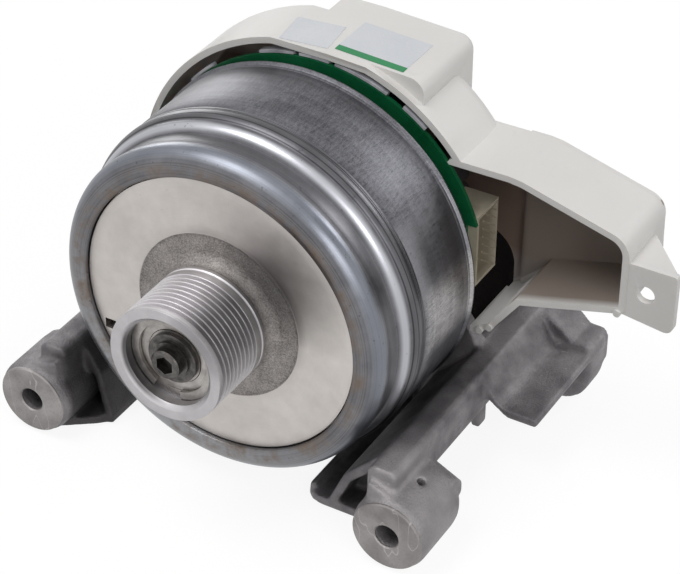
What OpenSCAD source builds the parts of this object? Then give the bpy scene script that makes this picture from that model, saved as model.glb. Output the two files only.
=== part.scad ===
// Outer-rotor washing machine motor with a belt pulley, a cast foot frame and a plastic rear cover.
// Millimetres. The motor axis is Y, the pulley points to -Y and +Z is up.
// The origin is on the axis, in the plane of the hub's machined front face.

/* [Pulley and hub] */
// Outer diameter of the belt pulley
pulley_d = 42.9; // [41:0.1:46]
// How far the pulley stands out of the hub face
pulley_len = 32.5; // [31:0.5:36]
// Number of belt grooves
groove_count = 9; // [5:1:9]
// Distance between two belt grooves
groove_pitch = 2.34; // [2.2:0.02:2.4]
// Radius of the fillet between pulley and hub
pulley_fillet = 4.2; // [3:0.1:5]
// Depth of a belt groove
groove_depth = 2.1; // [1.2:0.1:2.3]
// Width of the smooth land in front of the grooves
front_land = 2.1; // [1.5:0.1:2.6]
// Diameter of the machined hub face
hub_d = 104.4; // [100:0.1:105]
// Diameter of the as-cast ring round the pulley
cast_d = 63.4; // [56:0.2:70]
// Thickness of the hub's disc
hub_t = 7; // [5.5:0.5:7.5]
// How far the hub's flange reaches behind the drum's front edge
flange_lap = 3; // [1:0.5:4]
// Diameter of the pulley bore in front of the bearing
pulley_bore_d = 32.6; // [32.4:0.1:34]
// Length of the chamfer at the mouth of the pulley bore
bore_chamfer = 1.5; // [0.5:0.1:2]

/* [Drum] */
// Outer diameter of the drum's wall
drum_d = 131.8; // [131:0.2:133]
// Diameter of the rounded front edge
bead_d = 125.4; // [124:0.2:127]
// Rounding of the front edge
bead_r = 6.8; // [5.5:0.1:7]
// How far the front edge stands ahead of the hub face
bead_front = 2.2; // [1:0.1:3]
// Diameter of the waist between front edge and wall
waist_d = 123.6; // [122:0.2:125]
// Where the waist ends and the shoulder begins
waist_end = 14; // [12:0.5:15]
// Diameter of the shoulder band
shoulder_d = 132.4; // [132:0.1:133.4]
// Where the shoulder band ends and the plain wall begins
shoulder_end = 23.2; // [22:0.2:26]
// Rear end of the drum
drum_rear = 58.6; // [57.5:0.1:59.5]
// Diameter of the thin bead at the rear rim
rim_d = 133.8; // [133:0.1:134.6]
// Thickness of the drum's sheet
drum_t = 2.6; // [2:0.1:2.8]
// Radial gap between drum and hub face
hub_gap = 0.8; // [0.4:0.1:1.2]

/* [Magnets and stator] */
// Number of magnets
magnet_count = 24; // [16:2:28]
// Radial thickness of a magnet
magnet_t = 4.4; // [3.5:0.1:4.8]
// Length of the magnets
magnet_len = 30; // [24:1:32]
// Gap between neighbouring magnets
magnet_gap = 1.6; // [0.8:0.1:2.4]
// Air gap between magnets and stator
air_gap = 1.0; // [0.6:0.1:1.6]
// Number of stator teeth
tooth_count = 18; // [12:3:18]
// Length of the lamination stack
stack_len = 26; // [20:1:28]
// Where the lamination stack starts
stack_front = 24; // [23:0.5:25]
// Bore of the lamination stack
stack_bore_d = 52; // [50:0.5:54]
// Outer diameter of the stack's ring behind the teeth
yoke_d = 74; // [72:0.5:76]
// Width of a tooth
tooth_w = 6; // [5:0.2:6.4]
// Thickness of the plastic end insulators
insulator_t = 1.2; // [0.8:0.1:1.6]
// Thickness of the winding round a tooth
winding_t = 2.9; // [2:0.1:3]
// Radial gap between the stack's ring and the windings
winding_gap = 3.5; // [2:0.5:8]

/* [Axle and bearings] */
// Diameter of the axle in the front bearing
axle_front_d = 15; // [15:0.5:15.5]
// Diameter of the axle in the rear bearing
axle_mid_d = 17; // [17:0.5:17.5]
// Diameter of the axle in the carrier
axle_rear_d = 20; // [19.5:0.5:21]
// Diameter of the axle's shoulder behind the rear bearing
axle_shoulder_d = 24; // [23:0.5:25]
// Thread diameter at the rear end of the axle
axle_thread_d = 14; // [12:1:16]
// Outer diameter of the front bearing
bearing1_d = 32; // [32:0.1:32.2]
// Width of the front bearing
bearing1_w = 9; // [9:0.5:10]
// Depth of the front bearing below the pulley's front face
bearing1_depth = 6.2; // [5.8:0.2:7]
// Ball diameter of the front bearing
ball1_d = 4.76; // [4.4:0.02:4.8]
// Balls in the front bearing
ball1_count = 9; // [7:1:9]
// Outer diameter of the rear bearing
bearing2_d = 40; // [40:0.1:40.4]
// Width of the rear bearing
bearing2_w = 12; // [11:0.5:12]
// Where the rear bearing starts
bearing2_front = 6; // [5:0.5:6.5]
// Ball diameter of the rear bearing
ball2_d = 6.74; // [6.2:0.02:6.8]
// Balls in the rear bearing
ball2_count = 8; // [7:1:8]
// Diameter of the central screw's head
screw_head_d = 10.9; // [9.5:0.1:12]
// Key size of the screw's socket
screw_socket = 6; // [5:0.5:7]
// Thread diameter of the central screw
screw_d = 8; // [6:1:8]
// Diameter of the clamp washer
clamp_washer_d = 18.6; // [18:0.2:19]
// Thickness of the clamp washer
clamp_washer_t = 1.6; // [1:0.1:2]
// Thickness of the retaining ring
ring_t = 1.2; // [1:0.1:1.4]
// Inner diameter of the retaining ring
ring_inner_d = 26.6; // [26:0.2:28]

/* [Foot frame] */
// Distance from the motor axis down to the floor
axis_height = 71; // [71:0.5:76]
// Half distance between the front bolt holes
front_bolt_x = 72.9; // [71:0.1:76]
// Depth of the front bosses' faces ahead of the hub face, towards the pulley
front_face = 12; // [10:0.5:14]
// Length of a front boss
front_boss_len = 33; // [30:1:40]
// Diameter of the front bosses
front_boss_d = 28.4; // [26:0.2:29]
// Diameter of all bolt holes
bolt_hole_d = 9; // [8.5:0.1:9.5]
// Half distance between the rear bolt holes
rear_bolt_x = 80.5; // [79:0.5:83]
// Diameter of the rear bosses
rear_boss_d = 25; // [24:0.2:26]
// Where the rear bosses start
rear_boss_front = 102.5; // [100:0.5:104]
// Rear end of the rear bosses
rear_end = 120; // [118:0.5:122]
// Inner edge of the arms, from the axis
arm_in = 61.4; // [61:0.1:63]
// Width of an arm
arm_w = 11.1; // [10:0.1:12]
// How far the arms' tops lie below the axis
arm_top = 35; // [34.5:0.1:38]
// Rounding of the arms' tops
arm_round = 3; // [2:0.5:4]
// Height of an arm's outer skirt
arm_h = 15.6; // [14:0.2:18]
// Front end of the arms
arm_front = 6; // [4:0.5:7]
// Thickness of the casting's walls
cast_t = 3.6; // [3:0.1:4.2]
// Inner edge of the right foot plate, from the axis
right_plate_x = 31; // [28:0.5:40]
// Inner edge of the left foot plate, from the axis
left_plate_x = 50; // [45:0.5:54]
// Front end of the right shelf
shelf_front = 58; // [56:0.5:62]
// Rear end of the right shelf
shelf_rear = 111; // [108:0.5:114]
// Outer edge of the right shelf, from the axis
shelf_x = 93.5; // [90:0.5:96]
// Front of the plate that carries the stator
plate_front = 71; // [70:0.5:72]
// Thickness of that plate
plate_t = 6; // [5:0.5:8]
// Diameter of the round middle of that plate
plate_d = 76; // [72:1:80]
// Diameter of the carrier's tube round the axle
tube_d = 34; // [32:0.5:36]
// Rear end of the carrier's tube
tube_rear = 92; // [88:0.5:94]

/* [Electronics] */
// Outer diameter of the control board
board_d = 132.8; // [131:0.2:133.4]
// Front of the control board
board_front = 64.6; // [64:0.1:65]
// Thickness of the control board
board_t = 1.6; // [1.2:0.1:2]
// Gap between the control board's hole and the stator seat
board_gap = 2; // [1:0.5:4]
// How far the control board reaches below the axis
board_low = 12; // [8:1:16]
// Right side of the control board beside the connector, from the axis
board_side = 59.5; // [58:0.5:62]
// Outer face of the connector, from the axis
connector_x = 63; // [61:0.5:64]
// Depth of the connector from its outer face inwards
connector_deep = 13; // [10:0.5:14]
// Depth of the connector behind the board
connector_w = 15.4; // [13:0.2:16]
// Top of the connector
connector_top = 23; // [21:0.2:25]
// Height of the connector
connector_h = 28.6; // [27:0.2:30]
// Number of connector pins
pin_count = 8; // [5:1:9]
// Thickness of the connector's walls
connector_t = 1.3; // [1:0.1:1.6]
// Diameter of the large capacitors
capacitor_d = 22; // [18:0.5:23]
// Length of the large capacitors
capacitor_len = 33; // [26:0.5:34]
// Gap between the capacitors and the inside of the cover
capacitor_gap = 0.6; // [0.4:0.1:2]
// Width of the power module
power_w = 12; // [10:0.5:13]
// Height of the power module
power_h = 30; // [26:1:32]
// How far the power module stands behind the board
power_deep = 14; // [10:1:18]
// Width of the relay
relay_w = 12; // [10:0.5:13]
// Height of the relay
relay_h = 13; // [11:0.5:14]
// How far the relay stands behind the board
relay_deep = 15; // [12:1:18]
// Outer diameter of the filter choke's core
choke_d = 18; // [14:0.5:19]

/* [Rear cover] */
// Gap between the control board and the cover's round wall
cover_gap = 3.5; // [3.2:0.1:4.2]
// How far the round part's centre lies left of the motor axis
cover_shift = 1.2; // [0.6:0.1:1.4]
// Front edge of the cover
cover_front = 65; // [64.7:0.1:66]
// Rear face of the cover
cover_rear = 99; // [98:0.5:100]
// Thickness of the cover's walls
cover_t = 2.4; // [2:0.1:2.6]
// How far the flat top lies below the highest point of the round part
top_drop = 2.1; // [1.6:0.1:2.2]
// Height of the wing's top above the axis
wing_top = 44; // [42:0.2:46]
// Outer end of the wing, from the axis
wing_x = 119.6; // [117:0.1:122]
// Where the wing's lower edge bends down
wing_bend_x = 81; // [80:0.5:85]
// Lower left end of the wing
wing_tip_x = 66; // [65:0.5:68]
// How far that end lies below the axis
wing_tip_low = 24; // [21:0.5:25]
// How far the bend of the wing's lower edge lies below the axis
wing_bend_low = 6.2; // [5:0.2:7]
// Rounding of the wing's outer top corner
wing_round = 8.6; // [6:0.2:10]
// Fall of the wing's top and lower edge, in degrees
wing_fall = 15.4; // [14:0.2:17]
// Left side of the raised box for the capacitors
hump_left = -11; // [-13:0.5:-10]
// Right side of the raised box for the capacitors
hump_right = 40; // [38:0.5:41]
// Height of the raised box
hump_h = 29.2; // [28:0.2:31]
// Rear face of the raised box
hump_rear = 107.5; // [107:0.5:110]
// Width of the screw tab on the wing
tab_w = 17.4; // [16:0.2:20]
// Height of the screw tab
tab_h = 23; // [20:0.5:24]
// Middle of the tab's hole, from the wing's outer end
tab_hole_x = 6.7; // [5:0.1:9]
// Thickness of the screw tab
tab_t = 3; // [2.4:0.1:3.6]
// Diameter of the hole in the tab
tab_hole_d = 6.6; // [5:0.1:7]

/* [Hidden] */

// Small clearance of a pressed or bolted seat
seat = 0.02;
// Running clearance of a ball on its track
ball_play = 0.05;
// Overshoot of a cutting tool
cut = 1;
// Facets of round parts
smooth = 96;
steel = "silver";
cast_metal = "dimgray";

pulley_r = pulley_d / 2;
hub_r = hub_d / 2;
drum_in_r = drum_d / 2 - drum_t;
magnet_r = drum_in_r - seat;
core_r = magnet_r - magnet_t - air_gap;
stack_rear = stack_front + stack_len;
front_wall_in = hub_r + hub_gap;
hub_flange_r = front_wall_in + flange_lap;
cover_r = board_d / 2 + cover_gap + cover_t;
cover_top = cover_r - top_drop;
label_left = 4;
seat_flange_d = yoke_d - 2;
slope_angle = 3;
bearing1_front = bearing1_depth - pulley_len;
bearing1_rear = bearing1_front + bearing1_w;
bearing2_rear = bearing2_front + bearing2_w;
ring_rear = bearing1_front - 0.1;
floor_z = -axis_height;
front_bolt_z = floor_z + front_boss_d / 2;
rear_bolt_z = floor_z + rear_boss_d / 2;
arm_out = arm_in + arm_w;
skirt_low = arm_top + arm_h;
board_rear = board_front + board_t;
plate_rear = plate_front + plate_t;
connector_front = board_rear + seat;
connector_low = connector_top - connector_h;

// Turns a profile of [radius, y] points about the motor axis
module turned(points) {
    rotate([-90, 0, 0]) rotate_extrude($fn = smooth) polygon(points);
}

// Extrudes an outline drawn in x and z from y = from to y = to
module along_y(from, to) {
    translate([0, to, 0]) rotate([90, 0, 0]) linear_extrude(to - from) children();
}

// A rod along the motor axis direction
module rod(d, from, to, x = 0, z = 0) {
    translate([x, from, z]) rotate([-90, 0, 0]) cylinder(d = d, h = to - from, $fn = smooth);
}

// A ring about the motor axis
module ring(outer_r, inner_r, from, to) {
    turned([[inner_r, from], [outer_r, from], [outer_r, to], [inner_r, to]]);
}

// Points of an arc from angle a to angle b, ends included
function arc(cx, cz, r, a, b, n) = [for (i = [0 : n]) let (t = a + (b - a) * i / n) [cx + r * cos(t), cz + r * sin(t)]];

// Repeats its children round the motor axis
module around(count, turn = 0) {
    for (i = [0 : count - 1]) rotate([0, turn + i * 360 / count, 0]) children();
}

// One ball bearing: how its parts are drawn from bore, outer size, width and ball
ring_share = 0.3;
shield_t = 0.4;
shield_inset = 0.2;
function pitch_r(bore, outer) = (bore + outer) / 4;
function race_out_r(bore, outer) = bore / 2 + (outer - bore) / 2 * ring_share;
function race_in_r(bore, outer) = outer / 2 - (outer - bore) / 2 * ring_share;

module ball_track(bore, outer, mid, ball) {
    rotate([-90, 0, 0]) rotate_extrude($fn = smooth) translate([pitch_r(bore, outer), mid])
        circle(r = ball / 2 + ball_play, $fn = 48);
}

module inner_ring(bore, outer, from, width, ball) {
    color(steel) difference() {
        ring(race_out_r(bore, outer), bore / 2 + seat, from, from + width);
        ball_track(bore, outer, from + width / 2, ball);
    }
}

module outer_ring(bore, outer, from, width, ball) {
    color(steel) difference() {
        ring(outer / 2, race_in_r(bore, outer), from, from + width);
        ball_track(bore, outer, from + width / 2, ball);
    }
}

module balls(bore, outer, from, width, ball, count) {
    color(steel) around(count) translate([pitch_r(bore, outer), from + width / 2, 0]) sphere(d = ball, $fn = 32);
}

module ball_cage(bore, outer, from, width, ball, count) {
    half = ball / 2 + 0.75;
    mid = from + width / 2;
    color("goldenrod") difference() {
        ring(pitch_r(bore, outer) + 0.7, pitch_r(bore, outer) - 0.7, mid - half, mid + half);
        around(count) translate([pitch_r(bore, outer) - 2, mid, 0]) rotate([0, 90, 0])
            cylinder(d = ball + 3 * ball_play, h = 4, $fn = 32);
    }
}

module shields(bore, outer, from, width) {
    big = race_in_r(bore, outer) - seat;
    small = race_out_r(bore, outer) + 0.2;
    color(steel) {
        ring(big, small, from + shield_inset, from + shield_inset + shield_t);
        ring(big, small, from + width - shield_inset - shield_t, from + width - shield_inset);
    }
}

module front_inner_ring() { inner_ring(axle_front_d, bearing1_d, bearing1_front, bearing1_w, ball1_d); }
module front_outer_ring() { outer_ring(axle_front_d, bearing1_d, bearing1_front, bearing1_w, ball1_d); }
module front_balls() { balls(axle_front_d, bearing1_d, bearing1_front, bearing1_w, ball1_d, ball1_count); }
module front_ball_cage() { ball_cage(axle_front_d, bearing1_d, bearing1_front, bearing1_w, ball1_d, ball1_count); }
module front_shields() { shields(axle_front_d, bearing1_d, bearing1_front, bearing1_w); }
module rear_inner_ring() { inner_ring(axle_mid_d, bearing2_d, bearing2_front, bearing2_w, ball2_d); }
module rear_outer_ring() { outer_ring(axle_mid_d, bearing2_d, bearing2_front, bearing2_w, ball2_d); }
module rear_balls() { balls(axle_mid_d, bearing2_d, bearing2_front, bearing2_w, ball2_d, ball2_count); }
module rear_ball_cage() { ball_cage(axle_mid_d, bearing2_d, bearing2_front, bearing2_w, ball2_d, ball2_count); }
module rear_shields() { shields(axle_mid_d, bearing2_d, bearing2_front, bearing2_w); }

// Axle with its screw, washers, spacer and nut
screw_hole_len = 22;
flange_t = 0.9;
head_front = -pulley_len;
flange_front = bearing1_front - clamp_washer_t - flange_t;
thread_len = 14;
axle_rear = tube_rear + thread_len;

module axle() {
    color("gray") difference() {
        turned([[0, bearing1_front], [axle_front_d / 2, bearing1_front], [axle_front_d / 2, bearing2_front],
            [axle_mid_d / 2, bearing2_front], [axle_mid_d / 2, bearing2_rear], [axle_shoulder_d / 2, bearing2_rear],
            [axle_shoulder_d / 2, stack_front], [axle_rear_d / 2, stack_front], [axle_rear_d / 2, tube_rear],
            [axle_thread_d / 2, tube_rear], [axle_thread_d / 2, axle_rear - 1], [axle_thread_d / 2 - 1, axle_rear],
            [0, axle_rear]]);
        rod(screw_d + 2 * seat, bearing1_front - cut, bearing1_front + screw_hole_len);
    }
}

module axle_screw() {
    socket_deep = 3.4;
    color("dimgray") difference() {
        union() {
            turned([[0, head_front], [screw_head_d / 2 - 0.5, head_front], [screw_head_d / 2, head_front + 0.5],
                [screw_head_d / 2, flange_front], [screw_head_d / 2 + 1.2, flange_front],
                [screw_head_d / 2 + 1.2, flange_front + flange_t], [0, flange_front + flange_t]]);
            rod(screw_d, flange_front, bearing1_front + screw_hole_len - 2);
        }
        translate([0, head_front + socket_deep, 0]) rotate([90, 30, 0])
            cylinder(d = screw_socket / cos(30), h = socket_deep + cut, $fn = 6);
    }
}

module clamp_washer() {
    color("dimgray") ring(clamp_washer_d / 2, screw_d / 2 + 0.2, bearing1_front - clamp_washer_t, bearing1_front);
}

module bearing_spacer() {
    color(steel) ring(race_out_r(axle_front_d, bearing1_d) - 0.2, axle_front_d / 2 + 0.1, bearing1_rear, bearing2_front);
}

washer_t = 2;
nut_t = 9;
nut_af = 22;

module axle_washer() {
    color(steel) ring(tube_d / 2 - 2, axle_thread_d / 2 + 0.25, tube_rear, tube_rear + washer_t);
}

module axle_nut() {
    color("gainsboro") difference() {
        translate([0, tube_rear + washer_t, 0]) rotate([-90, 0, 0]) cylinder(d = nut_af / cos(30), h = nut_t, $fn = 6);
        rod(axle_thread_d + 2 * seat, tube_rear, tube_rear + washer_t + nut_t + cut);
    }
}

// Pulley, hub and what sits in them
groove_start = -pulley_len + front_land;
groove_rear = groove_start + groove_count * groove_pitch;
crest_w = 0.5;
root_w = 0.7;
edge = 0.5;
bearing2_wall = 4;
preload_t = 0.8;
hub_boss_r = bearing2_d / 2 + bearing2_wall;
flange_step = hub_t - 3.4;
cast_step = 0.5;
slot_w = 4.4;
slot_h = 3.9;
slot_x = 44.7;
slot_z = 20.1;
ring_groove_d = bearing1_d + 1.6;

groove_points = [for (i = [0 : groove_count - 1]) let (y = groove_start + i * groove_pitch) each [
    [pulley_r, y + crest_w / 2], [pulley_r - groove_depth, y + groove_pitch / 2 - root_w / 2],
    [pulley_r - groove_depth, y + groove_pitch / 2 + root_w / 2], [pulley_r, y + groove_pitch - crest_w / 2]]];

module hub_and_pulley() {
    mouth_r = pulley_bore_d / 2 + bore_chamfer;
    root_y = cast_step - pulley_fillet;
    fillet = arc(pulley_r - 0.6 + pulley_fillet, root_y, pulley_fillet, 180, 90, 8);
    outside = concat([[mouth_r, -pulley_len], [pulley_r - edge, -pulley_len], [pulley_r, edge - pulley_len]],
        groove_points, [[pulley_r, root_y - 0.4]],
        fillet, [[cast_d / 2 - 0.6, cast_step], [cast_d / 2, 0], [hub_r - 0.3, 0], [hub_r, 0.3],
        [hub_r, flange_step], [hub_flange_r, flange_step], [hub_flange_r, hub_t],
        [hub_boss_r + 3, hub_t], [hub_boss_r, hub_t + 3], [hub_boss_r, bearing2_rear], [bearing2_d / 2 + seat, bearing2_rear]]);
    inside = [[bearing2_d / 2 + seat, bearing2_front - preload_t], [bearing2_d / 2 - 3, bearing2_front - preload_t],
        [bearing1_d / 2 - 2.5, bearing2_front - preload_t - 4], [bearing1_d / 2 - 2.5, bearing1_rear],
        [bearing1_d / 2 + seat, bearing1_rear], [bearing1_d / 2 + seat, ring_rear], [ring_groove_d / 2, ring_rear],
        [ring_groove_d / 2, ring_rear - ring_t - 0.2], [pulley_bore_d / 2, ring_rear - ring_t - 0.2],
        [pulley_bore_d / 2, bore_chamfer - pulley_len]];
    color("lightgray") difference() {
        turned(concat(outside, inside));
        translate([-slot_x - slot_w / 2, -cut, -slot_z - slot_h / 2]) cube([slot_w, hub_t + 2 * cut, slot_h]);
    }
}

module retaining_ring() {
    gap = 40;
    color("dimgray") rotate([-90, 0, 0]) translate([0, 0, ring_rear - ring_t]) rotate([0, 0, 100 + gap / 2])
        rotate_extrude(angle = 360 - gap, $fn = smooth)
            translate([ring_inner_d / 2, 0]) square([(ring_groove_d - ring_inner_d) / 2 - 0.1, ring_t]);
}

module preload_washer() {
    color("slategray") ring(bearing2_d / 2 - 0.3, race_in_r(axle_mid_d, bearing2_d), bearing2_front - preload_t, bearing2_front);
}

// Steel drum: the outer profile from the hub gap to the rear rim, then back inside one sheet away
bead_z = bead_r - bead_front;
bead_cx = bead_d / 2 - bead_r;
shoulder_r = 3.4;
rim_len = 1.2;

drum_outside = concat([[front_wall_in, 0.4 - bead_front / 2]],
    arc(bead_cx, bead_z, bead_r, 250, 360, 12),
    [[waist_d / 2, bead_z + 3.2], [waist_d / 2 + 0.2, waist_end]],
    arc(shoulder_d / 2 - 2.2 - shoulder_r, waist_end + shoulder_r + 0.2, shoulder_r, 300, 360, 5),
    [[shoulder_d / 2 - 0.7, waist_end + 4.6], [shoulder_d / 2, waist_end + 7], [shoulder_d / 2, shoulder_end],
    [drum_d / 2, shoulder_end + 0.5], [drum_d / 2, drum_rear - rim_len - 0.6], [rim_d / 2, drum_rear - rim_len],
    [rim_d / 2, drum_rear]]);
drum_inside = [[drum_in_r, drum_rear], [drum_in_r, stack_front - 3.5], [waist_d / 2 - drum_t, waist_end + 1],
    [waist_d / 2 - drum_t, bead_z + bead_r - drum_t], [bead_cx, flange_step], [front_wall_in, flange_step]];

module rotor_drum() {
    color("slategray") turned(concat(drum_outside, drum_inside));
}

module rotor_magnets() {
    mid = stack_front + stack_len / 2;
    pitch = 360 / magnet_count;
    gap_angle = magnet_gap / magnet_r * 180 / PI;
    color("darkslategray") around(magnet_count) rotate([-90, 0, 0]) translate([0, 0, mid - magnet_len / 2])
        rotate_extrude(angle = pitch - gap_angle, $fn = smooth)
            translate([magnet_r - magnet_t, 0]) square([magnet_t, magnet_len]);
}

// Stator: one outline serves the laminations and both insulators
shoe_w = 13;
shoe_t = 2.6;
tooth_pitch = 360 / tooth_count;
stator_screw_count = 3;
stator_screw_d = 4;
stator_screw_r = (stack_bore_d + yoke_d) / 4;
winding_play = 0.3;

module stator_outline() {
    difference() {
        union() {
            circle(d = yoke_d, $fn = smooth);
            for (i = [0 : tooth_count - 1]) rotate(i * tooth_pitch) {
                translate([0, -tooth_w / 2]) square([core_r - shoe_t + 0.2, tooth_w]);
                intersection() {
                    circle(r = core_r, $fn = smooth);
                    translate([core_r - shoe_t, -shoe_w / 2]) square([shoe_t + cut, shoe_w]);
                }
            }
        }
        circle(d = stack_bore_d, $fn = smooth);
        for (i = [0 : stator_screw_count - 1]) rotate(90 + i * 360 / stator_screw_count)
            translate([stator_screw_r, 0]) circle(d = stator_screw_d + 0.4, $fn = 24);
    }
}

module stator_core() { color("slategray") along_y(stack_front, stack_rear) stator_outline(); }
module front_insulator() { color("ivory") along_y(stack_front - insulator_t, stack_front) stator_outline(); }
module rear_insulator() { color("ivory") along_y(stack_rear, stack_rear + insulator_t) stator_outline(); }

module stator_windings() {
    in_w = tooth_w + 2 * winding_play;
    in_front = stack_front - insulator_t - winding_play;
    in_rear = stack_rear + insulator_t + winding_play;
    start = yoke_d / 2 + winding_gap;
    winding_len = core_r - shoe_t - winding_play - start;
    color("chocolate") around(tooth_count) difference() {
        translate([start, in_front - winding_t, -in_w / 2 - winding_t])
            cube([winding_len, in_rear - in_front + 2 * winding_t, in_w + 2 * winding_t]);
        translate([start - cut, in_front, -in_w / 2]) cube([winding_len + 2 * cut, in_rear - in_front, in_w]);
    }
}

screw_head_h = 3.2;

module stator_screws() {
    deep = 7;
    color(steel) around(stator_screw_count, -90) {
        rod(stator_screw_d, stack_front - insulator_t, stack_rear + insulator_t + deep, stator_screw_r);
        rod(stator_screw_d + 3, stack_front - insulator_t - screw_head_h, stack_front - insulator_t, stator_screw_r);
    }
}

// The casting is drawn in three pieces that meet face to face: the carrier with the tube, the stator seat
// and the plate, the two feet with their arms, bosses and shelf, and the rear wall between the feet
seat_rear = stack_rear + insulator_t;

module arm_outline() {
    difference() {
        union() {
            translate([arm_in + arm_round, -arm_top - arm_round]) circle(r = arm_round, $fn = 32);
            translate([arm_out - arm_round, -arm_top - arm_round]) circle(r = arm_round, $fn = 32);
            translate([arm_in, -skirt_low]) square([arm_w, arm_h - arm_round]);
            translate([arm_in + arm_round, -arm_top - arm_round]) square([arm_w - 2 * arm_round, arm_round]);
        }
        translate([arm_in + cast_t, -skirt_low - cut]) square([arm_w - 2 * cast_t, cut + arm_h - 2 * cast_t]);
    }
}

// The neck that blends an arm into its front boss, with a rounded rear end
neck_rear = 17;
neck_h = 7;
pin_hole_d = 3;
pin_hole_y = 5;
pin_hole_rise = 5.5;
pin_hole_tilt = 26;

module neck_outline(down) {
    angle = 38;
    polygon(concat([[arm_in + 2, front_bolt_z], [arm_in + 2, -arm_top - 4 - down], [arm_out - 1, -arm_top - neck_h - down]],
        [[front_bolt_x + front_boss_d / 2 * cos(angle), front_bolt_z + front_boss_d / 2 * sin(angle) - down],
        [front_bolt_x + front_boss_d / 2 * cos(angle), front_bolt_z]]));
}

// The web that follows the drum from an arm down to its floor plate; bend and foot are [x, z] and x
rail_x = 54;
wall_front = rear_boss_front + 6;
right_bend = [46.5, -53];
right_foot_x = 40;
left_bend = [54.5, -49.5];
left_foot_x = 50.4;

module web_outline(bend, foot_x) {
    polygon([[arm_in, -arm_top - 3], [arm_in + cast_t, -arm_top - 6], bend + [0.72, -0.72] * cast_t,
        [foot_x + cast_t, floor_z + cast_t], [foot_x + cast_t, floor_z], [foot_x, floor_z],
        [foot_x, floor_z + cast_t], bend]);
}

// The block that closes the hollow between a web and its front boss
module block_section(bend, foot_x) {
    polygon([[foot_x + 1, floor_z], [front_bolt_x, floor_z], [front_bolt_x, front_bolt_z],
        [arm_in + cast_t, -skirt_low], [arm_in + 1, -arm_top - 6], bend + [1, -1]]);
}

// A floor plate: wide in front where it carries the boss, narrow behind; given by its inner front corner
plate_wide_end = 26;
hollow_end = 17;

module floor_plate(inner_x, front_corner) {
    translate([0, 0, floor_z]) linear_extrude(cast_t) polygon(concat(front_corner,
        [[arm_in + 5, plate_wide_end], [rail_x, plate_wide_end + 10], [rail_x, wall_front], [inner_x, wall_front]]));
}

module front_boss(side) {
    nose = 0.9;
    round_len = 10;
    translate([side * front_bolt_x, -front_face, front_bolt_z]) rotate([-90, 0, 0])
        rotate_extrude($fn = smooth) polygon(concat([[0, 0], [front_boss_d / 2 - 1.2, 0], [front_boss_d / 2 - 0.9, 0.3],
            [front_boss_d / 2 - 0.9, nose + 0.6], [front_boss_d / 2, nose + 1.4]],
            arc(front_boss_d / 2 - round_len, front_boss_len - round_len, round_len, 0, 90, 6), [[0, front_boss_len]]));
}

module rear_boss(side) {
    soft = 6;
    translate([side * rear_bolt_x, rear_boss_front, rear_bolt_z]) rotate([-90, 0, 0])
        rotate_extrude($fn = smooth) polygon(concat([[0, 0], [rear_boss_d / 2 - 1, 0], [rear_boss_d / 2, 1]],
            arc(rear_boss_d / 2 - soft, rear_end - rear_boss_front - soft, soft, 0, 90, 5), [[0, rear_end - rear_boss_front]]));
}

// The shelf's section: down from the arm's top, then out to its lip
shelf_t = 3.2;
shelf_slope_x = arm_out + 8.5;
shelf_z = -skirt_low + shelf_t;
shelf_bend = 7;
shelf_rim = 2.2;

module shelf_outline(lift) {
    top = concat([[arm_in + 4, -arm_top + lift], [arm_out - 1.5, -arm_top + lift]],
        arc(shelf_slope_x + 1.5, shelf_z + shelf_bend + lift, shelf_bend, 225, 270, 4), [[shelf_x, shelf_z + lift]]);
    bottom = [[shelf_x, -skirt_low], [shelf_slope_x + 0.5, -skirt_low], [arm_out - 2, -arm_top - 8], [arm_in + 4, -arm_top - 8]];
    polygon(concat(top, bottom));
}

// The block over the right rear boss: its right side stands straight up to a rounded corner
module block_outline() {
    side_x = rear_bolt_x + rear_boss_d / 2;
    top = shelf_z + shelf_rim;
    polygon(concat([[arm_in, rear_bolt_z], [side_x, rear_bolt_z]], arc(side_x - 4, top - 4, 4, 0, 90, 5),
        [[arm_out + 12.8, top], [arm_out + 10.3, top + 2.7], [arm_out + 1.5, -arm_top - 1.5], [arm_in + 3.6, -arm_top - 0.5]]));
}

// The plate behind the stator with its two legs
module plate_outline() {
    leg_in = 22;
    shoulder_z = 12;
    shoulder_x = plate_d * 0.44;
    circle(d = plate_d, $fn = smooth);
    for (a = lug_angles) rotate(a) {
        translate([0, -lug_d / 2]) square([lug_r, lug_d]);
        translate([lug_r, 0]) circle(d = lug_d, $fn = 32);
    }
    for (side = [-1, 1]) scale([side, 1]) polygon([[0, 0], [leg_in * 0.4, 1 - plate_d / 2], [leg_in, floor_z],
        [arm_in + cast_t, floor_z], [arm_in + cast_t, -arm_top - 2], [shoulder_x, shoulder_z]]);
}

rib_angles = [-90, 50, 90];
long_rib_angles = [-40, 220];
rib_len = tube_rear - plate_front - 7;
// How far one body of the casting is drawn into the next
sink = 1;
plate_lip = 5;
lip_t = 2.4;
lip_h = 6;

// The space between the two feet, x by z
between_feet = [[-left_plate_x, floor_z], [right_plate_x, floor_z], [right_plate_x, floor_z + lip_h],
    [right_plate_x + lip_t, floor_z + lip_h], [right_plate_x + lip_t, floor_z + cast_t],
    [right_foot_x, floor_z + cast_t], right_bend, [arm_in, -arm_top - 3], [arm_in, plate_d], [-arm_in, plate_d],
    [-arm_in, -arm_top - 3], [-left_bend[0], left_bend[1]], [-left_foot_x, floor_z + cast_t],
    [-left_plate_x, floor_z + cast_t]];

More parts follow.
